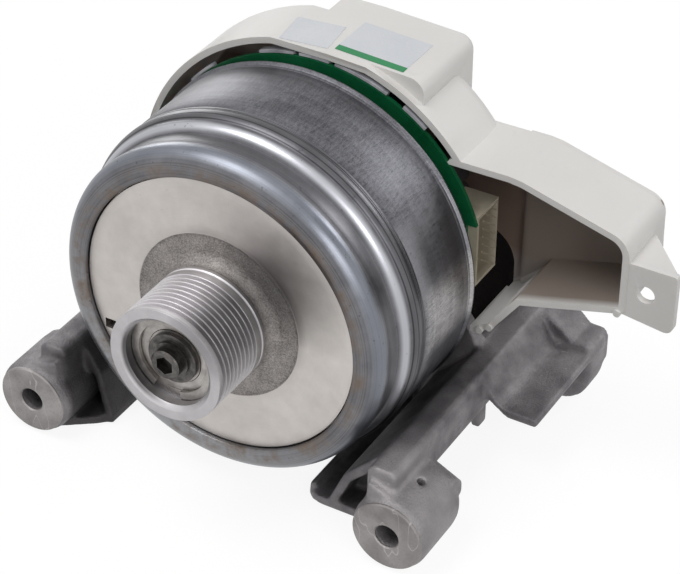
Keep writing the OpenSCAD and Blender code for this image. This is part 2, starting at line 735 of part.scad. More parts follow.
module stator_carrier() {
    color(cast_metal) difference() {
        union() {
            rod(tube_d, stack_front, tube_rear);
            rod(stack_bore_d - 2 * seat, stack_front, seat_rear);
            rod(seat_flange_d, seat_rear, plate_front + sink);
            along_y(plate_front, plate_rear) intersection() {
                plate_outline();
                polygon(between_feet);
            }
            // ribs between the tube and the plate's edge, and two that reach the feet
            for (a = rib_angles) rotate([0, -a, 0])
                translate([0, plate_front + sink, -cast_t / 2]) cube([plate_d / 2 - 3, rib_len, cast_t]);
            intersection() {
                for (a = long_rib_angles) rotate([0, -a, 0])
                    translate([0, plate_front + sink, -cast_t / 2]) cube([arm_in + 8, rib_len, cast_t]);
                along_y(plate_front, tube_rear) polygon(between_feet);
            }
            // posts for the cover's screws
            for (p = lug_places) rod(post_d, plate_front + sink, cover_rear - cover_t - seat, p[0], p[1]);
        }
        rod(axle_rear_d + 2 * seat, stack_front - cut, tube_rear + cut);
        around(stator_screw_count, -90) rod(stator_screw_d + 2 * seat, seat_rear - cut, seat_rear + 8, stator_screw_r);
        for (p = lug_places) {
            rod(board_screw_d + 2 * seat, plate_front - cut, plate_front + board_screw_deep + 1, p[0], p[1]);
            rod(cover_screw_d + 2 * seat, cover_rear - cover_screw_len - 1, cover_rear, p[0], p[1]);
        }
    }
}

// The wall stands higher on the right, behind the opening of the cover
module rear_wall() {
    low = -arm_top - 2;
    rise = 28;
    rise_x = 32;
    color(cast_metal) along_y(wall_front, wall_front + cast_t)
        polygon([[-arm_in, floor_z], [arm_in, floor_z], [arm_in, low + rise], [rise_x + rise / 2, low + rise],
            [rise_x, low], [-arm_in, low]]);
}

module foot_frame() {
    color(cast_metal) difference() {
        union() {
            // arms, webs and floor plates
            for (side = [-1, 1]) scale([side, 1, 1]) along_y(-arm_front, wall_front) arm_outline();
            along_y(plate_lip, wall_front) {
                web_outline(right_bend, right_foot_x);
                scale([-1, 1]) web_outline(left_bend, left_foot_x);
            }
            floor_plate(right_plate_x, [[right_plate_x, plate_lip + 3], [right_plate_x + 3, plate_lip + 0.6],
                [right_plate_x + 7, plate_lip], [arm_in + 5, plate_lip]]);
            scale([-1, 1, 1]) floor_plate(left_plate_x, [[left_plate_x + 0.6, 12], [left_plate_x + 1.3, 7.3],
                [left_plate_x + 3, 4], [left_plate_x + 5.4, 1.8], [arm_in + 4.5, -arm_front],
                [arm_in + 5, -arm_front]]);
            along_y(hollow_end, plate_wide_end) {
                block_section(right_bend, right_foot_x);
                scale([-1, 1]) block_section(left_bend, left_foot_x);
            }
            // the plate's feet, between each web and its arm
            along_y(plate_front, plate_rear) difference() {
                plate_outline();
                polygon(inset(between_feet, -sink));
                translate([-arm_in, floor_z - cut]) square([2 * arm_in, cast_t]);
            }
            for (side = [-1, 1]) scale([side, 1, 1]) {
                along_y(2.5 - front_face, neck_rear) neck_outline(0);
                along_y(neck_rear - sink, neck_rear + 2.5) neck_outline(1.2);
                along_y(neck_rear - sink, neck_rear + 4.5) neck_outline(3.4);
            }
            // lip along the right floor plate's inner edge
            translate([right_plate_x, plate_lip + 3, floor_z]) cube([lip_t, rear_boss_front - plate_lip, lip_h]);
            // bosses with the webs that join them to the arms
            for (side = [-1, 1]) {
                front_boss(side);
                rear_boss(side);
                along_y(rear_boss_front, rear_end - 3) scale([side, 1])
                    polygon([[arm_in, floor_z], [rear_bolt_x, floor_z], [rear_bolt_x, rear_bolt_z + rear_boss_d / 2],
                        [arm_out, -skirt_low + 6], [arm_in, -arm_top - 2]]);
            }
            // shelf with its raised rear wall and the block behind it
            along_y(shelf_front, shelf_rear) shelf_outline(0);
            along_y(shelf_rear, shelf_rear + cast_t) shelf_outline(shelf_rim);
            along_y(rear_boss_front + sink, rear_end - 1) block_outline();
        }
        for (side = [-1, 1]) {
            rod(bolt_hole_d, -front_face - cut, -front_face + front_boss_len + cut, side * front_bolt_x, front_bolt_z);
            rod(bolt_hole_d, rear_boss_front - cut, rear_end + cut, side * rear_bolt_x, rear_bolt_z);
        }
        translate([front_bolt_x, pin_hole_y, front_bolt_z + pin_hole_rise]) rotate([0, pin_hole_tilt, 0])
            cylinder(d = pin_hole_d, h = front_boss_d / 2, $fn = 32);
    }
}

// Lugs of the plate: the board stands on their front, the cover's posts on their rear
board_screw_d = 3;
board_screw_deep = 5;
lug_d = 11;
lug_r = seat_flange_d / 2 + 6;
lug_angles = [15, 120, 165];
lug_places = [for (a = lug_angles) [lug_r * cos(a), lug_r * sin(a)]];
post_d = 9;
cover_screw_d = 4;
cover_screw_len = 14;

// Control board and what is on it
pin_w = 0.8;
pin_leg_x = connector_x - connector_deep - 3;
pin_y = connector_front + connector_w / 2;
pin_pitch = (connector_h - 2 * connector_t) / pin_count;
pin_places = [for (i = [0 : pin_count - 1]) connector_low + connector_t + (i + 0.5) * pin_pitch];

board_corner = 3;

module control_board() {
    color("seagreen") along_y(board_front, board_rear) difference() {
        circle(d = board_d, $fn = smooth);
        circle(d = seat_flange_d + 2 * board_gap, $fn = smooth);
        translate([-board_d, -board_low - board_d]) square([2 * board_d, board_d]);
        translate([board_side, connector_low - board_d]) square([board_d, board_d + connector_h - board_corner]);
        for (p = lug_places) translate(p) circle(d = board_screw_d + 0.4, $fn = 24);
        for (z = pin_places) translate([pin_leg_x - pin_w / 2 - 0.1, z - pin_w / 2 - 0.1]) square(pin_w + 0.2);
    }
}

module board_spacers() {
    color("ivory") for (p = lug_places) difference() {
        rod(post_d - 2, board_rear, plate_front, p[0], p[1]);
        rod(board_screw_d + 0.4, board_rear - cut, plate_front + cut, p[0], p[1]);
    }
}

module board_screws() {
    head_h = 2;
    color(steel) for (p = lug_places) {
        rod(board_screw_d, board_front - head_h / 2, plate_front + board_screw_deep, p[0], p[1]);
        rod(board_screw_d * 1.9, board_front - head_h, board_front, p[0], p[1]);
    }
}

// Pieces of plastic edging along the board's upper rim, given by their start angles and lengths
clip_places = [[51, 9], [66, 18], [86, 10], [98, 12], [130, 10]];
clip_deep = 2;
clip_lap = 3.4;
clip_play = 0.3;
clip_out = 1.2;

module board_clips() {
    color("gainsboro") for (c = clip_places) rotate([-90, 0, 0]) rotate([0, 0, -c[0] - c[1]])
        rotate_extrude(angle = c[1], $fn = smooth)
            translate([board_d / 2, 0]) polygon([[-clip_lap, board_rear], [clip_play, board_rear],
                [clip_play, board_front + 0.4], [clip_out, board_front + 0.4],
                [clip_out, board_rear + clip_deep], [-clip_lap, board_rear + clip_deep]]);
}

// Two large capacitors side by side under the cover's raised box, seated against its inside
capacitor_front = cover_front + 3 + cover_t + 0.3;
capacitor_r = capacitor_d / 2;
capacitor_x = [for (i = [0, 1]) hump_left + cover_t + capacitor_gap + capacitor_r + i * (capacitor_d + capacitor_gap)];
capacitor_places = [for (x = capacitor_x)
    [x, top_z(x + capacitor_r) - cover_t - capacitor_gap - capacitor_r]];

module bus_capacitors() {
    lead_d = 0.8;
    lead_x = 3.8;
    soft = 0.6;
    bead = 2.2;
    color("darkslategray") for (p = capacitor_places) translate([p[0], 0, p[1]]) {
        translate([0, capacitor_front, 0]) turned([[0, 0], [capacitor_r - soft, 0], [capacitor_r, soft],
            [capacitor_r, bead], [capacitor_r - 0.7, bead + 0.8], [capacitor_r, bead + 1.6],
            [capacitor_r, capacitor_len - soft], [capacitor_r - soft, capacitor_len], [0, capacitor_len]]);
        for (side = [-1, 1]) rod(lead_d, board_rear, capacitor_front + cut, side * lead_x, 0);
    }
}

// Each part below stands behind the board, its place counted from the board's rim
power_x = 4.4 - board_d / 2;
power_z = -8;

module power_module() {
    pin_rows = 5;
    stand = 3;
    pitch = power_h / (pin_rows + 0.5);
    color("dimgray") translate([power_x, board_rear, power_z]) {
        translate([0, stand, 0]) cube([power_w, power_deep, power_h]);
        for (i = [1 : pin_rows]) for (x = [2, power_w - 2])
            translate([x - 0.5, 0, i * pitch - 1]) cube([1, stand + cut, 0.6]);
    }
}

choke_x = 26.4 - board_d / 2;
choke_z = board_d / 2 - 32.4;
choke_stand = 1.6;
choke_t = 7;
wire_d = 1.4;

module filter_choke() {
    turns = 9;
    wall = 4.8;
    reach = 0.8;
    color("peru") translate([choke_x, board_rear + choke_stand, choke_z]) {
        difference() {
            rod(choke_d, 0, choke_t);
            rod(choke_d - 2 * wall, -cut, choke_t + cut);
        }
        // wire wound round the ring, drawn as closed loops
        around(turns) difference() {
            translate([choke_d / 2 - wall - reach, -reach, -wire_d / 2])
                cube([wall + 2 * reach, choke_t + 2 * reach, wire_d]);
            translate([choke_d / 2 - wall + reach / 2, reach / 2, -cut])
                cube([wall - reach, choke_t - reach, 2 * cut]);
        }
        for (side = [-1, 1]) rod(wire_d, -choke_stand, reach, side * (choke_d / 2 - 2), 0);
    }
}

relay_x = board_d / 2 - 26.9;
relay_z = board_d / 2 - 38.4;

module relay() {
    stand = 0.4;
    pin_d = 0.9;
    color("dimgray") translate([relay_x, board_rear, relay_z]) {
        translate([0, stand, 0]) cube([relay_w, relay_deep, relay_h]);
        for (x = [2, relay_w - 2]) for (z = [2, relay_h - 2]) rod(pin_d, 0, stand + cut, x, z);
    }
}

module connector_housing() {
    color("ivory") difference() {
        translate([connector_x - connector_deep, connector_front, connector_low])
            cube([connector_deep, connector_w, connector_h]);
        translate([connector_x - connector_deep + connector_t, connector_front + connector_t, connector_low + connector_t])
            cube([connector_deep, connector_w - 2 * connector_t, connector_h - 2 * connector_t]);
        for (z = pin_places) translate([connector_x - connector_deep - cut, pin_y - pin_w / 2 - 0.05, z - pin_w / 2 - 0.05])
            cube([connector_deep, pin_w + 0.1, pin_w + 0.1]);
        // keys in the long walls of the opening
        for (i = [0 : pin_count]) translate([connector_x - 5, connector_front + connector_w - connector_t - cut / 2,
            connector_low + connector_t + i * pin_pitch - 0.4]) cube([5 + cut, 1.2, 0.8]);
    }
}

module connector_pins() {
    color("gold") for (z = pin_places) {
        translate([pin_leg_x - pin_w / 2, pin_y - pin_w / 2, z - pin_w / 2])
            cube([connector_x - 3 - pin_leg_x, pin_w, pin_w]);
        translate([pin_leg_x - pin_w / 2, board_front - 1, z - pin_w / 2])
            cube([pin_w, pin_y - board_front + 1, pin_w]);
    }
}

// Rear cover: one prismatic outline with a shell's thickness inside it
hood_left_z = -20;
hump_low = cover_top - hump_h;
hump_front = cover_front + 3;
hump_bevel = 6;

// Height of the cover's top at x: flat on the left, sloping to the right from the label on
function top_z(x) = cover_top - tan(slope_angle) * max(0, x - label_left);

// Where the sloping top meets the round part
top_c = top_z(label_left) + tan(slope_angle) * (label_left + cover_shift);
meet_u = (tan(slope_angle) * top_c + sqrt(cover_r ^ 2 * (1 + tan(slope_angle) ^ 2) - top_c ^ 2))
    / (1 + tan(slope_angle) ^ 2);
meet_angle = acos(meet_u / cover_r);
flat_angle = asin(cover_top / cover_r);
wing_angle = asin(wing_top / cover_r);
left_angle = 180 - asin(hood_left_z / cover_r);
wing_root_x = cover_r * cos(wing_angle) - cover_shift;

wing_drop = tan(wing_fall);
wing_level_x = 76.8;
round_x = wing_x - wing_round;
// Height of the wing's sloping top at x
function wing_z(x) = wing_top + 0.4 - wing_drop * max(0, x - wing_level_x);
round_z = wing_z(round_x) - wing_round / cos(wing_fall);

cover_outline = concat(
    [[wing_tip_x - 2, -wing_tip_low], [wing_tip_x + 5, 4 - wing_tip_low], [wing_bend_x, -wing_bend_low],
    [wing_x - 1.5, wing_drop * (wing_x - 1.5 - wing_bend_x) - wing_bend_low],
    [wing_x, wing_drop * (wing_x - 1.5 - wing_bend_x) - wing_bend_low + 1.8]],
    arc(round_x, round_z, wing_round, 0, 90 - wing_fall, 6),
    [[wing_level_x + 2.5, wing_z(wing_level_x + 2.5) - 0.1], [wing_level_x - 2.5, wing_top + 0.2]],
    arc(-cover_shift, 0, cover_r, wing_angle, meet_angle, 12), [[label_left, cover_top]],
    arc(-cover_shift, 0, cover_r, 180 - flat_angle, left_angle, 20));

function unit(v) = v / norm(v);
function inward(p, i) = let (d = unit(p[(i + 1) % len(p)] - p[i])) [-d[1], d[0]];
function inset(p, t) = [for (i = [0 : len(p) - 1])
    let (n1 = inward(p, (i + len(p) - 1) % len(p)), n2 = inward(p, i)) p[i] + (n1 + n2) * t / (1 + n1 * n2)];

hump_outline = concat([[hump_left, hump_low], [hump_right, hump_low]],
    arc(hump_right - hump_bevel, top_z(hump_right - hump_bevel) - hump_bevel / cos(slope_angle), hump_bevel,
    0, 90 - slope_angle, 5), [[label_left, cover_top], [hump_left, cover_top]]);
wing_step = 3;
wing_corner_x = 67;
opening_r = 30;
arch_r = 14;
arch_x = 49.5;
arch_z = -14.5;
under_z = -40;
under_h = 27;

module cover_cavity() {
    along_y(cover_front - cut, cover_rear - cover_t - wing_step) polygon(inset(cover_outline, cover_t));
    intersection() {
        along_y(cover_front, cover_rear - cover_t) polygon(inset(cover_outline, cover_t));
        translate([-wing_x, 0, -wing_x]) cube([wing_x + wing_corner_x, 2 * wing_x, 2 * wing_x]);
    }
    along_y(hump_front + cover_t, hump_rear - cover_t) polygon(inset(hump_outline, cover_t));
    // open underside
    translate([cover_t - cover_r, cover_front - cut, under_z])
        cube([cover_r - cover_t + wing_tip_x - 3.5, cover_rear - cover_front - cover_t, under_h]);
}

module cover_opening() {
    side_x = -58;
    side_z = -12;
    polygon(concat([[side_x, under_z], [side_x, side_z]], arc(0, 0, opening_r, 200, 14, 12),
        arc(arch_x, arch_z, arch_r, 100, 5, 8), [[arch_x + arch_r, under_z]]));
}

module rear_cover() {
    gusset_l = 20;
    tab_low = 3;
    nub = 1.3;
    nub_out = 0.8;
    color("gainsboro") {
        difference() {
            union() {
                along_y(cover_front, cover_rear) polygon(cover_outline);
                along_y(hump_front, hump_rear) polygon(hump_outline);
            }
            cover_cavity();
            along_y(cover_rear - cover_t - cut, cover_rear + cut) cover_opening();
            for (p = lug_places) rod(cover_screw_d + 0.4, cover_rear - cover_t - cut, cover_rear + cut, p[0], p[1]);
        }
        // tab with its hole and the gusset behind its top edge
        along_y(cover_front, cover_front + tab_t) difference() {
            polygon([[wing_x - 1, tab_low + 1], [wing_x + tab_w - 2, tab_low - 1], [wing_x + tab_w, tab_low + 1],
                [wing_x + tab_w, tab_low + tab_h - 1], [wing_x - 1, tab_low + tab_h - 1]]);
            translate([wing_x + tab_hole_x, tab_low + tab_h / 2]) circle(d = tab_hole_d, $fn = 48);
        }
        translate([0, 0, tab_low + tab_h - 1 - tab_t]) linear_extrude(tab_t) polygon([[wing_x - 1, cover_front],
            [wing_x + tab_w, cover_front], [wing_x + 1, cover_front + gusset_l], [wing_x - 1, cover_front + gusset_l]]);
        // nubs on the front rim
        for (p = [[wing_tip_x + 0.3, 2 - wing_tip_low], [wing_tip_x + 4, 4.4 - wing_tip_low], [wing_x - 2.6, 4]])
            rod(2 * nub, cover_front - nub_out, cover_front + tab_t, p[0], p[1]);
    }
}

module cover_screws() {
    head_h = 2.6;
    color(steel) for (p = lug_places) {
        rod(cover_screw_d, cover_rear - cover_screw_len, cover_rear + head_h / 2, p[0], p[1]);
        rod(cover_screw_d * 1.9, cover_rear, cover_rear + head_h, p[0], p[1]);
    }
}

// Labels: thin plates on the cover's flat top
label_t = 0.2;
label_front = 69.5;
label_len = 21;
band_w = 3;
label_right = 31;

module label_section() {
    from = label_left + 0.5;
    polygon([[from, top_z(from)], [label_right, top_z(label_right)], [label_right, top_z(label_right) + label_t],
        [from, top_z(from) + label_t]]);
}

module rating_label() { color("white") along_y(label_front + band_w, label_front + label_len) label_section(); }
module label_band() { color("green") along_y(label_front, label_front + band_w) label_section(); }

data_w = 18;
data_len = 16;
data_gap = 2.5;
data_turn = 7;

module data_label() {
    color("white") translate([label_left - data_gap - data_w / 2, label_front + data_len / 2 - data_gap, cover_top])
        rotate([0, 0, data_turn]) translate([-data_w, -data_len] / 2) cube([data_w, data_len, label_t]);
}

foot_frame();
stator_carrier();
rear_wall();
axle();
axle_screw();
clamp_washer();
bearing_spacer();
axle_nut();
axle_washer();
front_inner_ring();
rear_inner_ring();
front_balls();
front_ball_cage();
rear_balls();
rear_ball_cage();
front_outer_ring();
rear_outer_ring();
front_shields();
rear_shields();
retaining_ring();
preload_washer();
hub_and_pulley();
rotor_drum();
rotor_magnets();
stator_core();
front_insulator();
rear_insulator();
stator_windings();
stator_screws();
control_board();
board_spacers();
board_screws();
board_clips();
bus_capacitors();
power_module();
filter_choke();
relay();
connector_housing();
connector_pins();
rear_cover();
cover_screws();
rating_label();
label_band();
data_label();
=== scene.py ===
# %% [markdown]
# This lesson dresses the washing machine motor: a steel drum that spins outside its stator, a
# cast aluminium foot frame, and a pale plastic cover with a wing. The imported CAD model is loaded
# first and stays as it is. Each visible surface then gets a finish, and the pieces that need
# softer edges are modelled again on top of the CAD pieces.

import bmesh
import bpy
import math
from mathutils import Matrix, Vector


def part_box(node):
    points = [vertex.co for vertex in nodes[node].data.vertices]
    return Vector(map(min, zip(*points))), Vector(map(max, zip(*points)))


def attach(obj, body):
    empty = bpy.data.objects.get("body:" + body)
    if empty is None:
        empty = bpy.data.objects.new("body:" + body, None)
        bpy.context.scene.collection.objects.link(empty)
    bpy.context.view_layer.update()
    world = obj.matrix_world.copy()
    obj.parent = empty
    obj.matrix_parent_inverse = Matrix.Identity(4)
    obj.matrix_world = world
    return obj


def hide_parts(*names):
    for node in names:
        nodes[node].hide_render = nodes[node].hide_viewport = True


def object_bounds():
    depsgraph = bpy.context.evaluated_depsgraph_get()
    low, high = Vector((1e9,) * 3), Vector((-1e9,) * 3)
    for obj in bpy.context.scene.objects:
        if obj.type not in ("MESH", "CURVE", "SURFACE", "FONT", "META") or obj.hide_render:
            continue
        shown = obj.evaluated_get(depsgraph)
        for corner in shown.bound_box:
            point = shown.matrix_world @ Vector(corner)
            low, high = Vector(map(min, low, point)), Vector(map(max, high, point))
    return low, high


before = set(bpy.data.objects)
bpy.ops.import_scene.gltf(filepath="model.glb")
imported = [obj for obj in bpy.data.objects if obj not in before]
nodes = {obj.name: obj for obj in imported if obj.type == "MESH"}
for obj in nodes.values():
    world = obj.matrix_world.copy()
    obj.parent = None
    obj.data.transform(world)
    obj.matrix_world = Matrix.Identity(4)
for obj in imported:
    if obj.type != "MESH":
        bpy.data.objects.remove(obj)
cad_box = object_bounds()
MM = 0.001

# %% [markdown]
# Blender's operators act on whatever is selected. So every step starts from nothing selected,
# opens one piece for editing, and picks its edges by where they are. That is longer to write than a
# click, but it picks the same edges on every run.

# %% Helpers for selecting


def deselect():
    """Leaves edit mode and selects nothing."""
    if bpy.context.object and bpy.context.object.mode != "OBJECT":
        bpy.ops.object.mode_set(mode="OBJECT")
    bpy.ops.object.select_all(action="DESELECT")


def activate(piece):
    """Makes piece the only selected object."""
    deselect()
    piece.select_set(True)
    bpy.context.view_layer.objects.active = piece


def edit(piece):
    """Opens piece in edit mode."""
    activate(piece)
    bpy.ops.object.mode_set(mode="EDIT")


def choose_edges(piece, test):
    """In edit mode, selects the edges that pass the test."""
    bpy.ops.mesh.select_mode(type="EDGE")
    bpy.ops.mesh.select_all(action="DESELECT")
    mesh = bmesh.from_edit_mesh(piece.data)
    for edge in mesh.edges:
        if test(edge):
            edge.select_set(True)
    bmesh.update_edit_mesh(piece.data)


def settle(piece, angle=35):
    """Puts the piece's place into its mesh and smooths its shading below an angle in degrees."""
    activate(piece)
    bpy.ops.object.transform_apply(location=True, rotation=True, scale=True)
    bpy.ops.object.shade_smooth_by_angle(angle=math.radians(angle))


def apply_modifier(piece, kind, **settings):
    """Adds a modifier with its settings and applies it."""
    activate(piece)
    modifier = piece.modifiers.new(kind.lower(), kind)
    for key, value in settings.items():
        setattr(modifier, key, value)
    bpy.ops.object.modifier_apply(modifier=modifier.name)


print("helpers ready")

# %% [markdown]
# Turned parts are drawn as a lathe would cut them. They could be stacked from cylinders, but a
# drawn section keeps every radius and step in one list. One vertex is extruded from point to point
# until it has traced the section, and the closed section is then spun round the motor's axis.

# %% Helpers for turned pieces
weld = 0.002 * MM  # points nearer than this are one point


def arc(r, y, radius, start, end, count):
    """Points of [radius, y] on an arc from one angle to another, in degrees."""
    angles = [math.radians(start + (end - start) * i / count) for i in range(count + 1)]
    return [(r + radius * math.cos(a), y + radius * math.sin(a)) for a in angles]


def extrude(step):
    """Extrudes what is selected by step, in world axes."""
    move = {"value": step, "orient_type": "GLOBAL", "constraint_axis": (False, False, False)}
    bpy.ops.mesh.extrude_region_move(TRANSFORM_OT_translate=move)


def draw_outline(name, points):
    """A closed chain of edges through points, made by extruding one vertex."""
    deselect()
    bpy.ops.mesh.primitive_plane_add(size=MM, location=points[0])
    piece = bpy.context.object
    piece.name = name
    piece.data.name = name
    bpy.ops.object.mode_set(mode="EDIT")
    bpy.ops.mesh.select_mode(type="VERT")
    bpy.ops.mesh.merge(type="CENTER")
    for here, there in zip(points, points[1:] + points[:1]):
        extrude(Vector(there) - Vector(here))
    bpy.ops.mesh.select_all(action="SELECT")
    bpy.ops.mesh.remove_doubles(threshold=weld)
    return piece


def turn(name, section, steps, centre=(0.0, 0.0)):
    """Spins a section of [radius, y] points in millimetres about an axis along Y."""
    cx, cz = centre
    points = [((cx + r) * MM, y * MM, cz * MM) for r, y in section]
    piece = draw_outline(name, points)
    bpy.ops.mesh.spin(
        steps=steps, angle=2 * math.pi, center=(cx * MM, 0, cz * MM), axis=(0, 1, 0)
    )
    bpy.ops.mesh.select_all(action="SELECT")
    bpy.ops.mesh.remove_doubles(threshold=weld)
    bpy.ops.mesh.normals_make_consistent(inside=False)
    settle(piece)
    print(f"{name}: {len(piece.data.polygons)} faces")
    return piece


def dress(piece, body, slot, *replaced):
    """Ties a piece to its body and hides the CAD nodes that it stands for. The finish's slot is not used."""
    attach(piece, body)
    if replaced:
        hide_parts(*replaced)


print("lathe ready")

# %% [markdown]
# The drum is deep-drawn sheet steel. Its front edge is rolled into a fat bead, a waist follows,
# then a shoulder with fine drawing lines, and the wall runs straight back to a thin bright rim.
# It could be a cylinder whose edge loops are pushed about. A turned section was chosen, because it
# gives every one of these rings its true radius and so its own highlight.

# %% Model the drum
drum_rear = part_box("rotor_drum")[1].y / MM
sheet = 2.6
lip_r, lip_y = 53.0, 3.6
bead_r, bead_mid, bead_y = 6.8, 55.9, 4.6
shoulder_r, shoulder_mid, shoulder_y = 3.85, 60.7, 17.3
waist_inner_r = 59.2
wall_r = 65.9
inner_r = wall_r - sheet
groove_shade_lines = (18.5, 20.4, 22.95, 23.9, 25.05, 56.0)  # where painted shade darkens the fine grooves

lip = [(lip_r, lip_y), (lip_r, -0.9), (lip_r + 0.15, -1.3)]
waist = [(62.62, 5.3), (62.4, 6.4), (62.05, 7.6), (61.85, 8.8), (61.8, 10.4), (61.85, 12.2), (62.05, 13.4)]
fine_rings = (
    [(64.55, 16.6), (64.72, 17.3), (64.75, 17.9), (64.95, 18.25), (65.3, 18.7), (65.75, 19.5)]
    + [(66.05, 20.5), (66.15, 21.4), (66.15, 22.6), (66.02, 22.85), (65.95, 23.0), (66.0, 23.2)]
    + [(65.98, 23.5), (65.7, 23.7), (65.72, 23.9), (wall_r, 24.1), (wall_r, 24.9), (65.8, 25.05)]
)
wall = [(wall_r, 25.2), (wall_r, 34.0), (wall_r, 45.0), (wall_r, 55.6), (65.82, 55.75), (wall_r, 55.9)]
rim = (
    [(wall_r, 56.9), (66.1, 57.15), (66.55, 57.45), (66.8, 57.7), (66.85, 58.0), (66.8, 58.3)]
    + [(66.55, drum_rear), (inner_r, drum_rear)]
)
inner_side = [(inner_r, 20.5), (waist_inner_r, 15.0), (waist_inner_r, 8.8), (58.2, 6.0), (bead_mid, lip_y)]
bead = arc(bead_mid, bead_y, bead_r, 250, 352, 26)
shoulder = arc(shoulder_mid, shoulder_y, shoulder_r, 292, 338, 8)
drum_section = lip + bead + waist + shoulder + fine_rings + wall + rim + inner_side
drum = turn("drum_shell", drum_section, 320)
dress(drum, "rotor", "drum_steel", "rotor_drum")

# %% [markdown]
# The hub is one aluminium casting. Its face and its pulley are turned bright, while a ring round
# the pulley is left as it came from the mould. The belt runs in nine V grooves. Disc and pulley
# could be two pieces, but one section has no seam between them. The slot, which balances the hub,
# isn't round, so it is cut afterwards with a block.

# %% Model the hub and the pulley
pulley_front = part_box("hub_and_pulley")[0].y / MM
pulley_r = 21.45
groove_count, groove_pitch, groove_depth = 9, 2.34, 2.1
groove_start = pulley_front + 2.1
disc_r, disc_rear = 52.55, 7.0
cast_r = 31.7
flange_r = 56.0  # this far out the disc reaches behind the drum's lip
root_r, root_y, fillet_r = 20.85, -3.7, 4.2
mouth_r = 17.8
boss_r, hub_rear = 24.0, 18.0
front_seat_r, front_seat_y = 16.02, -17.3
rear_seat_r, rear_seat_y = 20.02, 5.2
between_seats_r = 13.5
ring_groove_r, ring_groove_y = 16.8, -26.4


def groove(index):
    """One V groove with softened crests and a narrow flat floor."""
    start = groove_start + index * groove_pitch
    middle, end = start + groove_pitch / 2, start + groove_pitch
    floor_r = pulley_r - groove_depth
    return [
        (pulley_r, start + 0.2),
        (pulley_r - 0.08, start + 0.3),
        (floor_r + 0.15, middle - 0.36),
        (floor_r, middle - 0.22),
        (floor_r, middle + 0.22),
        (floor_r + 0.15, middle + 0.36),
        (pulley_r - 0.08, end - 0.3),
        (pulley_r, end - 0.2),
    ]


grooves = [point for index in range(groove_count) for point in groove(index)]
pulley_face = (
    [(mouth_r, pulley_front + 0.12), (mouth_r + 0.15, pulley_front), (pulley_r - 0.35, pulley_front)]
    + [(pulley_r - 0.1, pulley_front + 0.12), (pulley_r, pulley_front + 0.4)]
)
pulley_end = (
    [(pulley_r, -8.6), (pulley_r, -6.6), (21.2, -6.3), (20.95, -6.1), (21.2, -5.9), (pulley_r, -5.6)]
    + [(pulley_r, -4.5), (21.3, -4.15), (20.95, -3.9)]
    + arc(root_r + fillet_r, root_y, fillet_r, 178, 92, 12)
)
disc_face = (
    [(27.0, 0.5), (29.5, 0.5), (cast_r - 0.9, 0.45), (cast_r - 0.35, 0.2), (cast_r, 0.0)]
    + [(cast_r + 4, 0.0), (disc_r - 4, 0.0), (disc_r - 0.35, 0.0), (disc_r - 0.1, 0.08)]
    + [(disc_r, 0.3), (disc_r, lip_y)]
)
disc_back = (
    [(flange_r, lip_y), (flange_r, disc_rear), (27.0, disc_rear), (24.9, 7.9), (boss_r, 10.0)]
    + [(boss_r, 17.6), (23.6, hub_rear), (rear_seat_r, hub_rear)]
)
seats = (
    [(rear_seat_r, rear_seat_y), (17.0, rear_seat_y), (between_seats_r, 1.2), (between_seats_r, front_seat_y)]
    + [(front_seat_r, front_seat_y), (front_seat_r, ring_groove_y), (ring_groove_r, ring_groove_y)]
    + [(ring_groove_r, -27.8), (16.3, -27.9), (16.3, -30.9), (16.45, -31.1)]
)
hub_section = pulley_face + grooves + pulley_end + disc_face + disc_back + seats
hub = turn("hub_casting", hub_section, 288)

# %% Cut the balancing slot
deselect()
slot_centre = (-44.7 * MM, 3.0 * MM, -20.1 * MM)
slot_size = (4.4 * MM, 12 * MM, 3.9 * MM)
bpy.ops.mesh.primitive_cube_add(size=1, location=slot_centre, scale=slot_size)
slot_cutter = bpy.context.object
settle(slot_cutter)
apply_modifier(hub, "BOOLEAN", operation="DIFFERENCE", solver="EXACT", object=slot_cutter)
bpy.data.objects.remove(slot_cutter)
settle(hub)
dress(hub, "rotor", "turned_aluminium", "hub_and_pulley")
print(f"hub: {len(hub.data.polygons)} faces after the slot")

# %% [markdown]
# The foot frame is a die casting, so none of its edges is sharp. Bevels would have to be chosen edge
# by edge and would clash where ribs meet. So copies of its three CAD nodes are joined, and a voxel
# remesh melts them into one skin that is then smoothed and thinned out. That gives the soft inner
# corners that a mould leaves. One small hole is drilled last, to keep its edge crisp.

# %% Copy the casting


def copy_node(name, copy_name):
    """A merged copy of a CAD node's mesh, as an object of its own."""
    deselect()
    piece = bpy.data.objects.new(copy_name, nodes[name].data.copy())
    bpy.context.scene.collection.objects.link(piece)
    piece.data.materials.clear()
    edit(piece)
    bpy.ops.mesh.select_all(action="SELECT")
    bpy.ops.mesh.remove_doubles(threshold=0.003 * MM)
    deselect()
    return piece


casting = copy_node("foot_frame", "casting")
for other in ("stator_carrier", "rear_wall"):
    part = copy_node(other, other + "_copy")
    activate(casting)
    part.select_set(True)
    bpy.ops.object.join()
print(f"casting copy: {len(casting.data.polygons)} faces")

# %% Melt the casting into one skin
apply_modifier(casting, "REMESH", mode="VOXEL", voxel_size=0.9 * MM, adaptivity=0.0)
apply_modifier(casting, "SMOOTH", factor=0.5, iterations=5)
apply_modifier(casting, "DECIMATE", decimate_type="COLLAPSE", ratio=0.42)
print(f"casting skin: {len(casting.data.polygons)} faces")


# %% Drill the casting
def bore(piece, place, radius, length, tilt):
    """Cuts a round hole. tilt turns the drill, in degrees, from straight down about X and Y."""
    deselect()
    bpy.ops.mesh.primitive_cylinder_add(
        vertices=40,
        radius=radius * MM,
        depth=length * MM,
        location=[c * MM for c in place],
        rotation=(math.radians(tilt[0]), math.radians(tilt[1]), 0),
    )
    drill = bpy.context.object
    settle(drill)
    apply_modifier(piece, "BOOLEAN", operation="DIFFERENCE", solver="EXACT", object=drill)
    bpy.data.objects.remove(drill)


